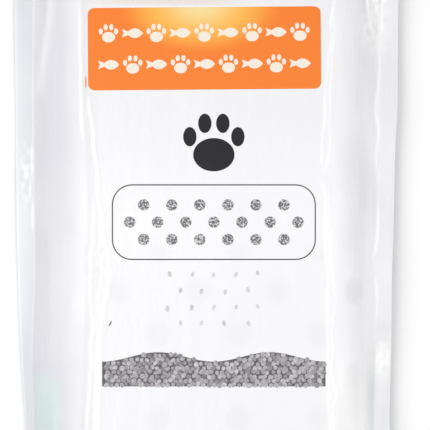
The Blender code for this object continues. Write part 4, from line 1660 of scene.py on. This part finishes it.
@dataclass
class Pattern:
    """How one motif is repeated over the film.

    stagger is a share of the pitch. trim, swell and swells shape the top: how far it lies
    below the last row, and the height and turns for each metre of its waves. turn and
    smallest are limits of chance, skip keeps one place of so many, and room is how far from
    the middle a motif may lie.
    """

    columns: int
    rows: int
    pitch: float
    row_pitch: float
    centre: Place
    stagger: float = 0.0
    trim: float = -0.010
    swell: float = 0.0
    swells: float = 0.0
    jitter: float = 0.0
    turn: float = 0.0
    smallest: float = 1.0
    seed: int = 4
    skip: int = 1
    first: int = 0
    room: float = 1.0
    lean: float = 0.0

    def values(self) -> dict[str, object]:
        """The pattern's values for the tree's named inputs.

        Returns:
            A value for each input's name.
        """
        sizes = {item.name.replace("_", " ").title(): getattr(self, item.name)
                 for item in fields(self)}
        return {**sizes, "Centre": (*self.centre, 0.0)}


@dataclass
class FrontPrint:
    """The ink on the front film: header panel, paw mark, tray, grains and granule bed."""

    film: bpy.types.Object
    ink_thickness: float = 0.00003
    ink_lift: float = 0.00005
    layer_step: float = 0.00005
    header_centre: Place = (-0.0013, 0.0782)
    header_size: Place = (0.1188, 0.0420)
    header_lean: float = math.radians(0.45)
    fleck_centre: Place = (-0.06175, 0.0610)
    fleck_half_size: Place = (0.00032, 0.0034)
    header_corner: float = 0.0034
    motif_size: float = 0.0108
    motif_pitch: float = 0.0122
    motif_columns: int = 9
    motif_row_pitch: float = 0.0160
    paw_size: float = 0.0340
    paw_centre: Place = (0.0035, 0.0301)
    stray_centre: Place = (-0.0493, -0.0622)
    stray_length: float = 0.0030
    stray_lean: float = math.radians(62)
    tray_centre: Place = (0.0035, -0.0104)
    tray_size: Place = (0.1034, 0.0380)
    tray_corner: float = 0.0100
    tray_stroke: float = 0.00060
    tray_spacing: float = 0.0010
    hole_diameter: float = 0.0058
    hole_columns: int = 7
    hole_rows: int = 3
    hole_pitch: float = 0.0143
    hole_row_pitch: float = 0.0088
    grain_size: float = 0.0034
    grain_slimness: float = 0.62
    grain_columns: int = 5
    grain_rows: int = 4
    grain_pitch: float = 0.0115
    grain_row_pitch: float = 0.0085
    grain_jitter: float = 0.0007
    grain_top: float = -0.0369
    bed_width: float = 0.1138
    bed_foot: float = -0.0941
    bed_length: float = 0.0150
    bed_swell: float = 0.0024
    bed_waves: int = 2
    bed_steps: int = 48
    granule_size: float = 0.0031
    granule_slimness: float = 0.86
    granule_pitch: float = 0.00262
    granule_row_pitch: float = 0.00215
    granule_jitter: float = 0.00045
    granule_foot: float = 0.0008
    single: GeometryTree = field(default_factory=single_tree)
    line: GeometryTree = field(default_factory=line_tree)
    pattern: GeometryTree = field(default_factory=pattern_tree)

    def build(self) -> list[bpy.types.Object]:
        """Prints every motif.

        Returns:
            The pieces of ink, lowest first.
        """
        pieces = [
            self.header(), *self.header_rows(), self.paw_mark(), self.tray_line(),
            self.tray_holes(), self.grains(), self.bed_ground(), self.granules(),
        ]
        for piece in pieces:
            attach(piece, BODY)
        return pieces

    def _lay(self, name: str, outlines: list[Outline], ink: InkFinish, spacing: float,
             layer: int = 0, pattern: Pattern | None = None) -> bpy.types.Object:
        """Lays a motif on the film, once or in a pattern.

        Args:
            name: the piece's name.
            outlines: the motif's outlines.
            ink: its finish.
            spacing: of the points inside the outlines.
            layer: how many inks lie under it.
            pattern: how it is repeated.

        Returns:
            The piece.
        """
        motif = plate(f"{name}_flat", outlines, self.ink_thickness, spacing)
        tree = self.pattern if pattern else self.single
        values = pattern.values() if pattern else {}
        piece = tree.make(name, {
            **values, "Motif": motif, "Film": self.film,
            "Lift": self.ink_lift + layer * self.layer_step, "Ink": ink.material()})
        bpy.data.objects.remove(motif)
        return piece

    def header(self) -> bpy.types.Object:
        """The orange header panel, with a fleck of it on the far side of a crease.

        Returns:
            The piece.
        """
        panel = rounded_rectangle(self.header_centre, self.header_size, self.header_corner)
        panel = turned(panel, self.header_centre, self.header_lean)
        fleck = ellipse(self.fleck_centre, self.fleck_half_size, count=14)
        return self._lay("header_panel", [panel, fleck], HEADER_INK, spacing=0.0020)

    def header_rows(self) -> list[bpy.types.Object]:
        """Two rows of small paw marks and fish in the header, by turns.

        Returns:
            The paws' piece and the fish's piece.
        """
        pieces = []
        for name, outlines, first in (
            ("header_paws", paw_outlines(self.motif_size, count=18), 1),
            ("header_fish", [fish_outline(self.motif_size, count=10)], 0),
        ):
            rows = Pattern(columns=self.motif_columns, rows=2, pitch=self.motif_pitch,
                           row_pitch=self.motif_row_pitch, skip=2, first=first,
                           centre=self.header_centre, lean=self.header_lean)
            pieces.append(self._lay(
                name, outlines, CREAM_INK, spacing=0.0016, layer=1, pattern=rows))
        return pieces

    def paw_mark(self) -> bpy.types.Object:
        """The large charcoal paw mark, and one stray fleck of its ink on the film.

        Returns:
            The piece.
        """
        outlines = [[p + Vector(self.paw_centre) for p in ring]
                    for ring in paw_outlines(self.paw_size, count=48)]
        half_size = (self.stray_length / 2, self.stray_length / 10)
        stray = ellipse(self.stray_centre, half_size, count=10)
        outlines.append(turned(stray, self.stray_centre, self.stray_lean))
        return self._lay("paw_mark", outlines, CHARCOAL_INK, spacing=0.0020)

    def tray_line(self) -> bpy.types.Object:
        """The tray's outline, one thin line.

        Returns:
            The piece.
        """
        return self.line.make("tray_line", {
            "Width": self.tray_size[0], "Length": self.tray_size[1],
            "Corner Radius": self.tray_corner, "Stroke": self.tray_stroke,
            "Thickness": self.ink_thickness, "Spacing": self.tray_spacing,
            "Centre": (*self.tray_centre, 0.0), "Film": self.film,
            "Lift": self.ink_lift, "Ink": LINE_INK.material()})

    def tray_holes(self) -> bpy.types.Object:
        """Three staggered rows of round holes in the tray.

        Returns:
            The piece.
        """
        radius = self.hole_diameter / 2
        rows = Pattern(columns=self.hole_columns, rows=self.hole_rows, pitch=self.hole_pitch,
                       row_pitch=self.hole_row_pitch, centre=self.tray_centre, stagger=0.5,
                       first=1, room=3.2 * self.hole_pitch)
        outline = ellipse((0, 0), (radius, radius), count=24)
        return self._lay("tray_holes", [outline], HOLE_INK, spacing=0.0016, pattern=rows)

    def grains(self) -> bpy.types.Object:
        """Small grains under the tray, in staggered rows.

        Returns:
            The piece.
        """
        half = self.grain_size / 2
        middle = self.grain_top - (self.grain_rows - 1) / 2 * self.grain_row_pitch
        rows = Pattern(columns=self.grain_columns, rows=self.grain_rows, pitch=self.grain_pitch,
                       row_pitch=self.grain_row_pitch, centre=(self.tray_centre[0], middle),
                       stagger=0.5, jitter=self.grain_jitter, turn=0.5, smallest=0.75, first=1,
                       room=2.25 * self.grain_pitch)
        outline = ellipse((0, 0), (half * self.grain_slimness, half), count=8)
        return self._lay("falling_grains", [outline], GRAIN_INK, spacing=0.0020, pattern=rows)

    @property
    def bed_turns(self) -> float:
        """Turns of the bed's waves for each metre, in radians."""
        return self.bed_waves * 2 * math.pi / self.bed_width

    def bed_ground(self) -> bpy.types.Object:
        """The dark ground of the granule bed, with a gently swelling top.

        Returns:
            The piece.
        """
        left = self.tray_centre[0] - self.bed_width / 2
        outline = [Vector((left, self.bed_foot)), Vector((left + self.bed_width, self.bed_foot))]
        for i in range(self.bed_steps + 1):
            x = self.bed_width / 2 - self.bed_width * i / self.bed_steps
            top = self.bed_foot + self.bed_length - self.bed_swell * math.cos(self.bed_turns * x)
            outline.append(Vector((self.tray_centre[0] + x, top)))
        return self._lay("bed_ground", [outline], GROUND_INK, spacing=0.0022)

    def granules(self) -> bpy.types.Object:
        """Rounded granules, close together over the bed.

        Returns:
            The piece.
        """
        half = self.granule_size / 2
        rows = int((self.bed_length + self.bed_swell) / self.granule_row_pitch) + 1
        span = (rows - 1) * self.granule_row_pitch
        pattern = Pattern(
            columns=int(self.bed_width / self.granule_pitch), rows=rows,
            pitch=self.granule_pitch, row_pitch=self.granule_row_pitch,
            centre=(self.tray_centre[0], self.bed_foot + span / 2 + self.granule_foot),
            stagger=0.5, trim=span - self.bed_length + self.granule_foot,
            swell=self.bed_swell, swells=self.bed_turns, jitter=self.granule_jitter,
            turn=3.1, smallest=0.72, seed=9, room=self.bed_width / 2 - 0.3 * half)
        outline = ellipse((0, 0), (half, half * self.granule_slimness), count=9)
        return self._lay(
            "bed_granules", [outline], GRANULE_INK, spacing=0.0040, layer=1, pattern=pattern)


@dataclass
class Lamp:
    """A soft box: its size, and where it stands seen from the pack.

    share is how brightly it alone lights a flat white surface, where 1 is white, and lean
    its angle from upright, in degrees.
    """

    name: str
    share: float
    size: Place
    lean: float
    distance: float = 1.3

    def build(self, aim: Vector) -> None:
        """Adds the lamp, aimed at a place.

        Args:
            aim: the middle of the pack.
        """
        data = bpy.data.lights.new(self.name, "AREA")
        data.shape = "RECTANGLE"
        data.size, data.size_y = self.size
        turn = math.radians(self.lean)
        way = Vector((math.sin(turn), 0.0, math.cos(turn)))
        data.energy = self.share * (math.pi * self.distance) ** 2 / math.cos(turn)
        lamp = bpy.data.objects.new(self.name, data)
        lamp.location = aim + way * self.distance
        lamp.rotation_mode = "QUATERNION"
        lamp.rotation_quaternion = way.to_track_quat("Z", "Y")
        bpy.context.scene.collection.objects.link(lamp)


@dataclass
class Studio:
    """Pale floor, soft boxes, white surroundings and a camera that looks straight down."""

    view_centre: Place = (0.0041, -0.00675)
    view_width: float = 0.2217
    focus_height: float = 0.0055
    lens: float = 150.0
    floor_size: float = 6.0
    floor_drop: float = 0.00015
    floor_white: float = 0.92
    floor_glow: float = 0.14
    sky: float = 0.50
    lamps: tuple[Lamp, ...] = (
        Lamp("left_softbox", 0.38, (1.1, 1.4), -42.0),
        Lamp("right_softbox", 0.15, (0.6, 1.2), 38.0),
        Lamp("top_softbox", 0.12, (1.6, 1.6), -8.0),
        Lamp("left_strip", 0.05, (0.05, 1.2), -26.0),
        Lamp("right_strip", 0.04, (0.05, 1.2), 28.0),
    )

    def build(self) -> None:
        """Sets the whole studio up."""
        self.floor()
        self.surroundings()
        for lamp in self.lamps:
            lamp.build(Vector((*self.view_centre, self.focus_height)))
        self.camera()
        bpy.context.scene.view_settings.view_transform = "Standard"

    def _seen(self, graph: Graph) -> Wire:
        """1 for rays from the camera and for reflections, and 0 for light on surfaces.

        Args:
            graph: the tree that it is added to.

        Returns:
            The value.
        """
        path = graph.node("ShaderNodeLightPath", outlet="Is Camera Ray")
        seen = graph.larger(path, path.outlet("Is Glossy Ray"))
        return graph.larger(seen, path.outlet("Is Transmission Ray"))

    def floor(self) -> None:
        """Adds the floor, which glows a little for the camera and keeps the shadow."""
        surface = Surface("pale_floor")
        base = surface.node("ShaderNodeBsdfDiffuse", values={
            "Color": opaque((self.floor_white,) * 3)})
        glow = surface.node("ShaderNodeEmission", values={
            "Color": (1.0, 1.0, 1.0, 1.0), "Strength": self._seen(surface) * self.floor_glow})
        surface.node_output(surface.node("ShaderNodeAddShader", values={0: base, 1: glow}))
        half = self.floor_size / 2
        corners = [(-half, -half), (half, -half), (half, half), (-half, half)]
        mesh = bpy.data.meshes.new("floor")
        mesh.from_pydata([(x, y, -self.floor_drop) for x, y in corners], [], [(0, 1, 2, 3)])
        mesh.materials.append(surface.material)
        floor = bpy.data.objects.new("floor", mesh)
        bpy.context.scene.collection.objects.link(floor)

    def surroundings(self) -> None:
        """Fills the surroundings with soft light, seen as white."""
        world = bpy.data.worlds.new("studio_white")
        world.use_nodes = True
        bpy.context.scene.world = world
        graph = Graph(world.node_tree)
        graph.tree.nodes.clear()
        strength = self._seen(graph) * (1.0 - self.sky) + self.sky
        back = graph.node("ShaderNodeBackground", values={"Strength": strength})
        out = graph.tree.nodes.new("ShaderNodeOutputWorld")
        graph.feed(out.inputs["Surface"], back)

    def camera(self) -> None:
        """Adds the camera, straight above the part of the pack that is in view."""
        data = bpy.data.cameras.new("camera")
        data.lens = self.lens
        distance = self.view_width * self.lens / data.sensor_width
        camera = bpy.data.objects.new("camera", data)
        camera.location = (*self.view_centre, self.focus_height + distance)
        bpy.context.scene.collection.objects.link(camera)
        bpy.context.scene.camera = camera


def main() -> None:
    """Builds the studio, the film and its print."""
    logging.basicConfig(level=logging.INFO, format="%(message)s")
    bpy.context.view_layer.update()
    Studio().build()
    pouch = FilmPouch()
    film = pouch.build()
    pieces = FrontPrint(film).build()
    pouch.dress(film)
    for piece in [film, *pieces]:
        LOG.info("%s: %d faces", piece.name, len(piece.data.polygons))


if __name__ == "__main__":
    main()
